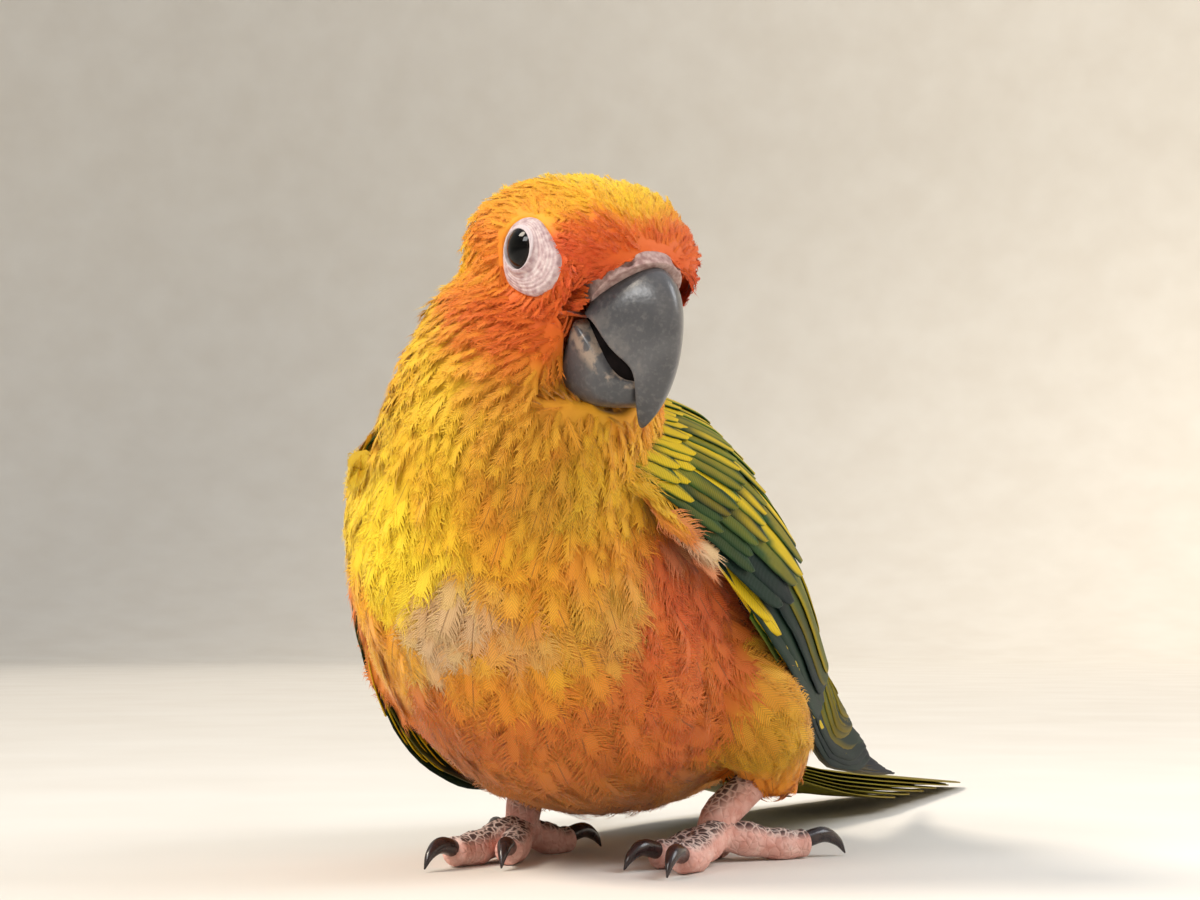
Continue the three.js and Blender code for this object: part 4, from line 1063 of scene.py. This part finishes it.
def joinVanes(name, rows, faces, material):
    # sheets of one size joined, with a little thickness, each on its own patch of the bake map
    points, zone, lay, barb = (np.concatenate([row[i] for row in rows]) for i in range(4))
    size = len(rows[0][0])
    allFaces = (faces[None] + (np.arange(len(rows)) * size)[:, None, None]).reshape(-1, 4)
    across = math.ceil(math.sqrt(len(rows)))
    spots = [np.array([i % across + 0.3, i // across + 0.1]) / across * 0.96 for i in range(len(rows))]
    uv = np.repeat(spots, size, axis=0) + lay[:, :2] * np.array([0.5, 1]) * 0.03
    made = meshPiece(name, toFrame(points), allFaces, material,
                     {"zone": zone, "lay": lay, "barb": barb}, uv)
    thick = made.modifiers.new("vaneThickness", "SOLIDIFY")
    thick.thickness, thick.offset = vaneLie["thick"] * mm, -1
    print(f"{name}: {len(rows)} feathers")
    return made


def makeWings(material):
    u, v, faces = vaneGrid(22, 9)
    for side, name in ((1, "left"), (-1, "right")):
        rows = [row for tier in wingTiers.values() for row in wingFeathers(side, tier, u, v)]
        made = joinVanes(f"wing_feathers_{name}", rows, faces, material)
        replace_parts(made, f"wing_{name}")


# Pairs of numbers are for the middle and the outermost pair of feathers
tailSettings = {"root": 50, "length": 132, "pairs": 6, "shortest": 0.52, "wide": (12, 9.5),
                "rootAside": (1, 5.5), "tipAside": (1.6, 10.5), "rootHigh": (2, -3), "tipHigh": (2.2, -2.2),
                "apart": 0.2, "curl": 0.12, "floor": 0.25}


def makeTail(material):
    u, v, faces = vaneGrid(30, 9)
    rows = []
    for i in range(tailSettings["pairs"]):
        share = i / (tailSettings["pairs"] - 1)
        wide, rootAside, tipAside, rootHigh, tipHigh = (mix(*tailSettings[key], share) for key in (
            "wide", "rootAside", "tipAside", "rootHigh", "tipHigh"))
        for side in (-1, 1):
            reach = tailSettings["length"] * mix(1, tailSettings["shortest"], share)
            place, back = spine(tailSettings["root"] + reach * v)
            half = wide / 2 * vaneOutline(v, 0.66, 0.5)
            sideways = side * mix(rootAside, tipAside, v) + u * half
            high = mix(rootHigh, tipHigh, np.minimum(1, v / 0.3)) + side * tailSettings["apart"]
            high = high + vaneLie["camber"] - tailSettings["curl"] * np.abs(u) * half
            points = place + sideways[..., None] * np.array([1, 0, 0]) + high[..., None] * back
            points[..., 2] = np.maximum(points[..., 2], tailSettings["floor"])  # none goes below the floor
            yellow = 0.25 + 0.12 * ease(0.7, 1, np.abs(u))
            navy = ease(0.45, 0.95, v) * 0.8 + 0.15 * np.abs(u)
            rows.append(vaneRow(points, (yellow, navy, 0 * u), u, v, rng.random(), reach, half))
    made = joinVanes("tail_feathers", rows, faces, material)
    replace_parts(made, "tail")


# Rows run from the root to the tip: the ridge and the edge, as forward and up, and a share of the width
billSettings = {
    "halfWidth": 6.3, "sides": 44,
    "upper": {
        "rows": [((8.5, 0.0), (5.4, -7.2), 1.0), ((11.5, 0.3), (8.6, -7.4), 1.0),
                 ((13.6, 0.4), (11, -8.9), 1.0), ((15.9, -0.7), (12.4, -10.7), 0.85),
                 ((17.9, -3), (13.5, -11.6), 0.68), ((19.2, -6.6), (15, -12.6), 0.5),
                 ((19.4, -10.4), (15.2, -14.8), 0.42), ((18.4, -14.2), (15.1, -17), 0.33),
                 ((17.2, -17.4), (14.6, -19.2), 0.16), ((14.7, -20.3), (14.2, -20.1), 0.04)],
        "keel": 0.12, "topSquare": 1.0, "lowSquare": 0.35, "narrow": 0.25},
    "lower": {
        "rows": [((4.4, -6.6), (1.5, -16.8), 1.14), ((8.0, -8.6), (4.5, -18.4), 1.1),
                 ((10.5, -10.8), (7.6, -18.8), 1.0), ((11.8, -12.9), (10, -18.5), 0.84),
                 ((13.0, -14.1), (12, -18), 0.66), ((14.1, -14.1), (13.5, -17.4), 0.49),
                 ((14.8, -14.4), (14.4, -16.4), 0.3)],
        "keel": 0.84, "topSquare": 0.35, "lowSquare": 0.45, "narrow": 0.0},
    "mouth": {
        "rows": [((4, -5.5), (3, -11), 0.88), ((9, -6.8), (8, -13), 0.88), ((12, -9), (11.2, -15), 0.74),
                 ((13.8, -11.0), (13, -15.5), 0.52), ((14.6, -12.4), (14, -15), 0.3)],
        "keel": 0.5, "topSquare": 1.0, "lowSquare": 1.0, "narrow": 0.0},
}


def squared(value, square):
    # a sine or cosine pressed towards a box as square goes from 1 to 0
    return math.copysign(abs(value) ** square, value)


def billHalf(name, form, material):
    made = bmesh.new()
    rings = []
    for ridge, edge, share in form["rows"]:
        height = math.hypot(ridge[0] - edge[0], ridge[1] - edge[1])
        up = ((ridge[0] - edge[0]) / height, (ridge[1] - edge[1]) / height)
        ring = []
        for k in range(billSettings["sides"]):
            turn = k / billSettings["sides"] * 2 * math.pi
            square = form["topSquare"] if math.sin(turn) > 0 else form["lowSquare"]
            aside, high = squared(math.cos(turn), square), squared(math.sin(turn), square)
            aside *= 1 - form["narrow"] * max(high, 0)
            rise = height * (form["keel"] + high * ((1 - form["keel"]) if high > 0 else form["keel"]))
            ring.append(toFrame(onHead(aside * billSettings["halfWidth"] * share, edge[0] + up[0] * rise,
                                       edge[1] + up[1] * rise)))
        rings.append(ring)
    loft(made, rings)
    piece = bmeshPiece(name, made, material)
    # how near each point is to the cutting edge, as a share of the bill's height there
    edges, ridges = (np.array([row[i] for row in form["rows"]]) for i in (1, 0))
    wear = []
    for spot in inHead(toBird([vert.co for vert in piece.data.vertices])):
        i = np.argmin(np.hypot(*(((edges + ridges) / 2) - spot[1:]).T))
        wear.append(np.hypot(*(edges[i] - spot[1:])) / np.hypot(*(edges[i] - ridges[i])))
    addAttribute(piece.data, "edge", wear)
    roundOff(piece, 2)
    return piece


scuffShown = 0.3


def hornMaterial(name, worn):
    # bill horn: keratin worn by use, semi-gloss, charcoal with pale scuffs and flaking where it rubs
    material, tree, surface = newMaterial(name, {"Roughness": 0.3, "IOR": 1.54, "Specular IOR Level": 0.5})
    place = addNode(tree, "TexCoord", output="Object")
    cloud, scratches, flaky, grain = (
        addNode(tree, "TexNoise", {"Vector": place, "Scale": 1 / (size * mm), "Detail": detail})
        for size, detail in ((9, 6), (0.6, 9), (1.6, 7), (0.7, 6)))
    shade = addNode(tree, "ValToRGB", (cloud,), stops=[
        (0.3, "#37383B"), (0.5, "#4A4A4D"), (0.72, "#5F5E60")])
    scuff = addNode(tree, "ValToRGB", (scratches,), stops=[(0.5, 0.0), (0.9, 1.0)])
    scuffShare = addNode(tree, "Math", (scuff, scuffShown), operation="MULTIPLY")
    edge = addNode(tree, "Attribute", output="Fac", attribute_name="edge")
    rubbed = addNode(tree, "ValToRGB", (edge,), stops=worn["places"])
    flakes = addNode(tree, "ValToRGB", (flaky,), stops=[(0.46, 0.0), (0.56, 1.0)])
    flaked = addNode(tree, "Math", (rubbed, flakes), operation="MULTIPLY")
    flakeShare = addNode(tree, "Math", (flaked, worn["share"]), operation="MULTIPLY")
    for share, code in ((scuffShare, "#98938F"), (flakeShare, worn["colour"])):
        shade = addNode(tree, "Mix", {0: share, 6: shade, 7: colour(code)}, 2, data_type="RGBA")
    finishSurface(tree, surface, shade, grain)
    return material


def makeBill():
    upperHorn = hornMaterial("charcoalBillHorn", {
        "places": [(0.1, 1.0), (0.45, 0.0)], "share": 0.35, "colour": "#8F8780"})
    lowerHorn = hornMaterial("flakingBillHorn", {
        "places": [(0.66, 0.0), (0.84, 1.0)], "share": 0.75, "colour": "#A39180"})
    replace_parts(billHalf("bill_upper_horn", billSettings["upper"], upperHorn), "bill_upper")
    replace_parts(billHalf("bill_lower_horn", billSettings["lower"], lowerHorn), "bill_lower")
    # the dry inside of the mouth, which shows as a line between the halves; its near-black colour is partly
    # its own and partly painted shade in the gape
    inside, tree, surface = newMaterial("mouthSkinWithPaintedShade", {"Roughness": 0.85, "Specular IOR Level": 0.05})
    place = addNode(tree, "TexCoord", output="Object")
    cloud = addNode(tree, "TexNoise", {"Vector": place, "Scale": 1 / (2 * mm)})
    shade = addNode(tree, "ValToRGB", (cloud,), stops=[(0.3, "#0A0808"), (0.7, "#171212")])
    finishSurface(tree, surface, shade)
    billHalf("mouth_lining", billSettings["mouth"], inside)


def bareSkinMaterial(name, look):
    # bare face skin: thin, dry and matt, with fine folds
    material, tree, surface = newMaterial(name, {"Roughness": 0.6, "IOR": 1.45, "Specular IOR Level": 0.3})
    rim = addNode(tree, "Attribute", output="Fac", attribute_name="rim")
    place = addNode(tree, "TexCoord", output="Object")
    wander, cloud, grain = (
        addNode(tree, "TexNoise", {"Vector": place, "Scale": 1 / (size * mm), "Detail": detail})
        for size, detail in ((2, 2), (0.9, 4), (0.5, 3)))
    bent = addNode(tree, "Math", (wander, 5.0), operation="MULTIPLY")
    wave = addNode(tree, "Math", (rim, look["folds"], bent), operation="MULTIPLY_ADD")
    folds = addNode(tree, "Math", (wave,), operation="SINE")
    # the folds also darken the colour a little in their grooves: painted shade
    heat = addNode(tree, "Math", (folds, 0.06, cloud), operation="MULTIPLY_ADD")
    shade = addNode(tree, "ValToRGB", (heat,), stops=look["colours"])
    # the lid colour along the inner rim; on the cere it marks the nostril pits and is painted shade there
    margin = addNode(tree, "ValToRGB", (rim,), stops=look["margin"])
    height = addNode(tree, "Math", (folds, 0.3, grain), operation="MULTIPLY_ADD")
    shade = addNode(tree, "Mix", {0: margin, 6: shade, 7: colour(look["lid"])}, 2, data_type="RGBA")
    finishSurface(tree, surface, shade, height, 0.5, 0.15)
    return material


ringSkinLook = {
    "colours": [(0.3, "#A98C8F"), (0.5, "#C8B0B1"), (0.7, "#DDCDCB")], "folds": 40,
    "margin": [(0.0, 1.0), (0.02, 0.0)], "lid": "#D3C5C8",
}
cereLook = {
    "colours": [(0.3, "#8C6B68"), (0.5, "#A88984"), (0.7, "#C3A9A3")], "folds": 12,
    # on the cere the lid colour is painted shade in the nostril pits
    "margin": [(0.55, 0.0), (0.95, 1.0)], "lid": "#4A2C2A",
}

cereSettings = {"up": -4.0, "lean": (0.68, 0.73), "wide": 6.2, "above": 6.7, "below": 3.6, "sides": 72,
                "edge": -0.1, "nostril": (3.8, 12.1, 0.75), "nostrilReach": 1.0, "nostrilDeep": 0.8}
# Bands of the cere from back to front: how far forward, and how proud of the horn
cereBands = [(4.6, 2.3), (5.6, 2.0), (6.4, 1.65), (7.0, 1.25), (7.6, 0.85), (8.1, 0.55), (8.6, 0.3),
             (8.95, 0.08), (9.05, -0.1)]


def makeCere(material):
    made = bmesh.new()
    up, across = headWay(0, *cereSettings["lean"]), headWay(1, 0, 0)
    rings = []
    for forward, proud in cereBands:
        middle = onHead(0, forward, cereSettings["up"])
        ring = []
        for turn in (k / cereSettings["sides"] * 2 * math.pi for k in range(cereSettings["sides"])):
            high = math.sin(turn)
            edge = proud * mix(cereSettings["edge"], 1, float(ease(0.0, 0.75, high)))
            tall = cereSettings["above"] if high > 0 else cereSettings["below"]
            aside = across * math.cos(turn) * (cereSettings["wide"] + edge)
            ring.append(middle + aside + up * high * (tall + edge))
        rings.append(ring)
    # the nostrils are small pits near the top
    left, forward, rise = cereSettings["nostril"]
    for side in (-1, 1):
        pit = onHead(side * left, forward, rise)
        inwards = (up + across * side * 0.5) * cereSettings["nostrilDeep"]
        for ring in rings:
            for k, place in enumerate(ring):
                deep = float(ease(cereSettings["nostrilReach"], 0.3, (place - pit).length))
                ring[k] = place - inwards * deep
    loft(made, [[toFrame(place) for place in ring] for ring in rings])
    piece = bmeshPiece("cere_skin", made, material)
    # the nostril pits take the lid colour: painted shade
    spots = inHead(toBird([vert.co for vert in piece.data.vertices]))
    away = np.abs(spots * [1, 0, 0]) + spots * [0, 1, 1] - np.array(cereSettings["nostril"])
    nostrilShade = ease(cereSettings["nostrilReach"], 0.4, np.linalg.norm(away, axis=1))
    addAttribute(piece.data, "rim", 0.5 + 0.5 * nostrilShade)
    roundOff(piece, 1)
    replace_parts(piece, "cere")


# Lids and bare skin are rings round each eye, as distances from its axis and heights over its middle
lidRows = [(2.5, 3.2), (2.54, 3.6), (2.64, 3.78), (2.78, 3.82), (2.92, 3.72), (3.1, 3.5), (3.32, 3.25),
           (3.55, 3.02)]
lidSettings = {"drop": 0.3, "sides": 96, "fold": 0.05, "swell": 0.15, "sink": 0.9, "inner": 2.9}
ringRows = [0.1, 0.2, 0.3, 0.4, 0.5, 0.6, 0.7, 0.8, 0.9, 1.0, 1.12]


def makeEye(side, name, skinMaterial, eyeMaterial):
    centre = np.array(onHead(side * eyeSettings["spread"], 0, 0))
    _, _, _, (bill, crown, up) = aroundEye(centre[None], side)
    made = bmesh.new()
    bmesh.ops.create_uvsphere(made, u_segments=64, v_segments=40, radius=eyeSettings["radius"])
    reaches = []
    for vert in made.verts:
        # the cornea bulges a little, and the back of the ball has no iris
        reach = math.hypot(vert.co.x, vert.co.y)
        reaches.append(reach if vert.co.z > 0 else 9)
        share = max(0, 1 - (reach / eyeSettings["cornea"]) ** 2) if vert.co.z > 0 else 0
        bulge = eyeSettings["bulge"] * share
        place = centre + bill * vert.co.x + crown * vert.co.y + up * (vert.co.z + bulge)
        vert.co = Vector(toFrame(place))
    piece = bmeshPiece(f"eye_{name}_ball", made, eyeMaterial)
    addAttribute(piece.data, "iris", reaches)
    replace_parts(piece, f"eye_{name}")
    turns = np.linspace(0, 2 * math.pi, lidSettings["sides"], endpoint=False)
    degrees = np.degrees((turns + math.pi) % (2 * math.pi) - math.pi)
    reach, rim = (read(ringShape, key, degrees) for key in ("reach", "rim"))
    ripple = 1.3 * np.sin(3 * turns) + 0.8 * np.sin(5 * turns + 1)
    rows = [(radius + 0 * turns, height + 0 * turns) for radius, height in lidRows]
    lidReach, lidHeight = lidRows[-1]
    for share in ringRows:
        fold = lidSettings["fold"] * np.sin(share * 26 + ripple) * min(share * 4, 1)
        swell = lidSettings["swell"] * math.sin(math.pi * min(share, 1))
        sink = lidSettings["sink"] if share > 1 else 0
        rows.append((mix(lidReach, reach, share), mix(lidHeight, rim, share) + swell + fold - sink))
    made = bmesh.new()
    drop = lidSettings["drop"]
    loft(made, [[toFrame(centre + bill * (r * math.cos(t)) + crown * (r * math.sin(t) - drop) + up * h)
                 for r, h, t in zip(radii, heights, turns)] for radii, heights in rows], closed=False)
    piece = bmeshPiece(f"eye_ring_{name}_skin", made, skinMaterial)
    turn, far, _, _ = aroundEye(toBird([vert.co for vert in piece.data.vertices]), side)
    inner = lidSettings["inner"]
    addAttribute(piece.data, "rim", (far - inner) / (read(ringShape, "reach", turn) - inner))
    roundOff(piece, 1)
    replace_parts(piece, f"eye_ring_{name}")


def wetEyeMaterial():
    # a living eye: black pupil and dark brown iris under a wet, clear cornea
    material, tree, surface = newMaterial("wetDarkEye", {
        "Roughness": 0.06, "IOR": 1.376, "Specular IOR Level": 0.22, "Coat Weight": 0.12,
        "Coat Roughness": 0.02})
    iris = addNode(tree, "Attribute", output="Fac", attribute_name="iris")
    reach = addNode(tree, "Math", (iris, 4.0), operation="DIVIDE")
    shade = addNode(tree, "ValToRGB", (reach,), stops=[
        (0.0, "#010101"), (0.5, "#020202"), (0.55, "#120D0B"), (0.66, "#241A15"), (0.75, "#080605")])
    finishSurface(tree, surface, shade)
    return material


feet = {
    "left": {"side": 1, "foot": (19, 12, 4.4), "heel": (23.2, 20.5, 12.5), "heading": -8},
    "right": {"side": -1, "foot": (-11, 8, 4.4), "heel": (-14, 17.5, 12.5), "heading": 4},
}
toes = {
    "inner_front": {"heading": -13, "reach": 13.5, "radius": 2.3, "pads": 2},
    "outer_front": {"heading": 12, "reach": 18.5, "radius": 2.45, "pads": 3},
    "inner_back": {"heading": -152, "reach": 10, "radius": 2.2, "pads": 2},
    "outer_back": {"heading": 146, "reach": 15.5, "radius": 2.35, "pads": 3},
}
clawSettings = {"reach": 6.2, "radius": 1.25, "gap": 0.3}
scuteSize = 1.15  # the scales are as wide as real ones


def curvePoint(places, t):
    # a smooth path through the places
    table = np.array(places, dtype=float)
    line = {"at": np.linspace(0, 1, len(table)), "x": table[:, 0], "y": table[:, 1], "z": table[:, 2]}
    return np.array([read(line, key, t) for key in "xyz"])


def limbRings(places, radii, sides, count, swell):
    line = {"at": np.linspace(0, 1, len(radii)), "r": np.array(radii, dtype=float)}
    rings = []
    for t in np.linspace(0, 1, count):
        point = curvePoint(places, t)
        way = unit(curvePoint(places, min(t + 0.01, 1)) - curvePoint(places, max(t - 0.01, 0)))
        guess = np.array([1.0, 0, 0]) if abs(way[2]) > 0.9 else np.array([0, 0, 1.0])
        across = unit(np.cross(way, guess))
        up = np.cross(across, way)
        ring = []
        for k in range(sides):
            turn = k / sides * 2 * math.pi
            radius = float(read(line, "r", t)) * swell(t, math.sin(turn))
            spot = point + across * math.cos(turn) * radius + up * math.sin(turn) * radius
            spot[2] = max(spot[2], 0.02)
            ring.append(toFrame(spot))
        rings.append(ring)
    return rings


def toeWay(leg, toe):
    turn = math.radians(leg["heading"] + leg["side"] * toe["heading"])
    return math.sin(turn), -math.cos(turn)

def footMaterial():
    # foot skin: pink flesh between dark grey-brown scutes with pale, dry rims
    material, tree, surface = newMaterial("scaledFootSkin", {
        "Roughness": 0.55, "IOR": 1.45, "Specular IOR Level": 0.35})
    place = addNode(tree, "TexCoord", output="Object")
    scutes = addNode(tree, "TexVoronoi", {"Vector": place, "Scale": 1 / (scuteSize * mm)},
                     feature="DISTANCE_TO_EDGE")
    facing = addNode(tree, "NewGeometry", output="Normal")
    upwards = addNode(tree, "SeparateXYZ", (facing,), "Z")
    top = addNode(tree, "ValToRGB", (upwards,), stops=[(0.35, 0.0), (0.8, 1.0)])
    cloud = addNode(tree, "TexNoise", {"Vector": place, "Scale": 1 / (2 * mm), "Detail": 3})
    flesh = addNode(tree, "ValToRGB", (cloud,), stops=[
        (0.3, "#D99A8C"), (0.6, "#E9B8AC"), (0.8, "#F0CDC2")])
    plate = addNode(tree, "ValToRGB", (scutes,), stops=[
        (0.05, "#D8C4BC"), (0.16, "#5A4A48"), (0.4, "#4A3D3D")])
    shade = addNode(tree, "Mix", {0: top, 6: flesh, 7: plate}, 2, data_type="RGBA")
    raised = addNode(tree, "ValToRGB", (scutes,), stops=[(0.0, 0.0), (0.2, 1.0)])
    finishSurface(tree, surface, shade, raised, 0.6, 0.2)
    return material


def clawMaterial():
    # claw horn: polished dark brown keratin
    material, tree, surface = newMaterial("polishedClawHorn", {
        "Roughness": 0.24, "IOR": 1.54, "Specular IOR Level": 0.5})
    place = addNode(tree, "TexCoord", output="Object")
    cloud = addNode(tree, "TexNoise", {"Vector": place, "Scale": 1 / (1.5 * mm), "Detail": 3})
    shade = addNode(tree, "ValToRGB", (cloud,), stops=[(0.3, "#241B1C"), (0.7, "#3B2E2E")])
    finishSurface(tree, surface, shade)
    return material


def plainSwell(t, high):
    return 1


def shankSwell(t, high):
    return 1 + 0.03 * math.cos(60 * t)


def makeFoot(name, leg, skinMaterial, hornMaterialClaw):
    made = bmesh.new()
    x, y, z = leg["foot"]
    heel = leg["heel"]
    above = tuple(mix(np.array(leg["foot"]), np.array(heel), 1.35))
    shank = [above, heel, (x, y + 0.6, z + 2.2), (x, y, z - 1.4)]
    loft(made, limbRings(shank, [2.6, 2.6, 2.7, 2.5], 20, 14, shankSwell))
    for toeName, toe in toes.items():
        wayX, wayY = toeWay(leg, toe)
        reach, r, pads = toe["reach"], toe["radius"], toe["pads"]

        def path(*steps):
            return [(x + wayX * out, y + wayY * out, high) for out, high in steps]

        def swell(t, high):
            # pads below and scutes above, with a round end
            pad = 0.07 * math.cos(2 * math.pi * pads * t)
            scute = 0.03 * math.cos(2 * math.pi * t * reach / 1.1) if high > 0.2 else 0
            tip = math.sqrt(max(0.02, 1 - ((t - 0.93) / 0.075) ** 2)) if t > 0.93 else 1
            return (1 + pad + scute) * tip

        lift = r - 0.22
        places = path((-1, z), (reach * 0.32, lift + 1.1), (reach * 0.7, lift), (reach, lift + 0.15))
        loft(made, limbRings(places, [r * 1.12, r * 1.04, r, r * 0.84], 20, 44, swell))
        start, rise = reach + clawSettings["gap"], r + 0.25
        long, thick = clawSettings["reach"], clawSettings["radius"]
        horn = bmesh.new()
        claw = path((start - 1.2, rise), (start + long * 0.38, rise + 0.75),
                    (start + long * 0.78, rise - 0.35), (start + long, 0.45))
        loft(horn, limbRings(claw, [thick, thick * 0.95, thick * 0.58, 0.12], 16, 18, plainSwell))
        nail = bmeshPiece(f"claw_{name}_{toeName}_horn", horn, hornMaterialClaw)
        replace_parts(nail, f"claw_{name}_{toeName}")
    piece = bmeshPiece(f"foot_{name}_skin", made, skinMaterial)
    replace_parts(piece, f"foot_{name}")


# The focal length is in pixels of a frame this wide
cameraSettings = {"place": (126.03, -284.36, 33.5), "azimuth": 23, "elevation": -5, "focal": 2106,
                  "wide": 1200, "sensor": 36}
studioSettings = {"floor": 2.2, "curve": 0.8, "wall": 2.6, "sky": "#EEF2FA", "skyPower": 0.62}
lamps = {
    "window": {"kind": "SUN", "place": (-380, -330, 560), "power": 2.75, "angle": 20, "tint": "#FFF2E0"},
    "softbox": {"kind": "AREA", "place": (-120, -420, 330), "size": 130, "power": 0.9, "tint": "#FFFFFF"},
    "rim": {"kind": "AREA", "place": (330, 60, 330), "size": 200, "power": 0.8, "tint": "#F6FAFF"},
}


def makeCamera():
    azimuth, elevation = (math.radians(cameraSettings[key]) for key in ("azimuth", "elevation"))
    back = Vector((math.sin(azimuth) * math.cos(elevation), -math.cos(azimuth) * math.cos(elevation),
                   math.sin(elevation)))
    data = bpy.data.cameras.new("camera")
    data.sensor_width = cameraSettings["sensor"]
    data.lens = cameraSettings["sensor"] * cameraSettings["focal"] / cameraSettings["wide"]
    data.clip_start, data.clip_end = 0.01, 20
    camera = bpy.data.objects.new("camera", data)
    camera.location = toFrame(cameraSettings["place"])
    camera.rotation_mode = "QUATERNION"
    camera.rotation_quaternion = (-back).to_track_quat("-Z", "Y")
    bpy.context.scene.collection.objects.link(camera)
    bpy.context.scene.camera = camera


def makeStudio():
    # plain colours as the eye meets them, with no film curve over them
    bpy.context.scene.view_settings.view_transform = "Standard"
    # paper: matt, and nearly even in colour
    material, tree, surface = newMaterial("paleStudioPaper", {"Roughness": 0.9, "Specular IOR Level": 0.1})
    place = addNode(tree, "TexCoord", output="Object")
    cloud = addNode(tree, "TexNoise", {"Vector": place, "Scale": 1 / (60 * mm)})
    shade = addNode(tree, "ValToRGB", (cloud,), stops=[(0.3, "#E4E0D8"), (0.7, "#E9E6DF")])
    finishSurface(tree, surface, shade)
    made = bmesh.new()
    wide, curve = studioSettings["floor"], studioSettings["curve"]
    profile = [(wide + curve * math.sin(a), curve - curve * math.cos(a)) for a in np.linspace(0, 1.57, 12)]
    profile = [(0, 0)] + profile + [(wide + curve, studioSettings["wall"])]
    verts = [made.verts.new((r, 0, h)) for r, h in profile]
    edges = [made.edges.new((a, b)) for a, b in zip(verts, verts[1:])]
    bmesh.ops.spin(made, geom=verts + edges, axis=(0, 0, 1), cent=(0, 0, 0), steps=64, angle=2 * math.pi,
                   use_merge=True)
    bmesh.ops.remove_doubles(made, verts=made.verts, dist=1e-5)
    bmeshPiece("floor", made, material, body=None)
    world = bpy.data.worlds.new("softRoom")
    world.use_nodes = True
    background = world.node_tree.nodes["Background"]
    background.inputs["Color"].default_value = colour(studioSettings["sky"])
    background.inputs["Strength"].default_value = studioSettings["skyPower"]
    bpy.context.scene.world = world
    for name, lamp in lamps.items():
        data = bpy.data.lights.new(name, lamp["kind"])
        data.energy = lamp["power"]
        if lamp["kind"] == "SUN":
            data.angle = math.radians(lamp["angle"])
        else:
            data.size = lamp["size"] * mm
        data.color = colour(lamp["tint"])[:3]
        light = bpy.data.objects.new(name, data)
        light.location = toFrame(lamp["place"])
        aim = Vector(toFrame((8, -20, 55))) - light.location
        light.rotation_mode = "QUATERNION"
        light.rotation_quaternion = aim.to_track_quat("-Z", "Y")
        bpy.context.scene.collection.objects.link(light)


makeCamera()
makeStudio()
print("studio ready")
plumage = plumageMaterial("contourFeathers", plumageLook)
vanes = vaneMaterial("flightFeathers", vaneLook)
skin = makeSkin(plumage)
unwrapSkin(skin)
dressSkin(skin)
print(f"skin: {len(skin.data.polygons)} faces")
coatSpots = makeCoat(skin, plumage)
makeGapeTufts(skin, plumage, coatSpots)
for name, form in sideCoats.items():
    makeSideCoat(name, form, skin, plumage, coatSpots)
makeWings(vanes)
makeTail(vanes)
makeBill()
ringSkin = bareSkinMaterial("bareRingSkin", ringSkinLook)
makeCere(bareSkinMaterial("cereSkin", cereLook))
darkEye = wetEyeMaterial()
for side, name in ((1, "left"), (-1, "right")):
    makeEye(side, name, ringSkin, darkEye)
print("bill and eyes ready")
footSkin, clawHorn = footMaterial(), clawMaterial()
for name, leg in feet.items():
    makeFoot(name, leg, footSkin, clawHorn)
print("feet ready")
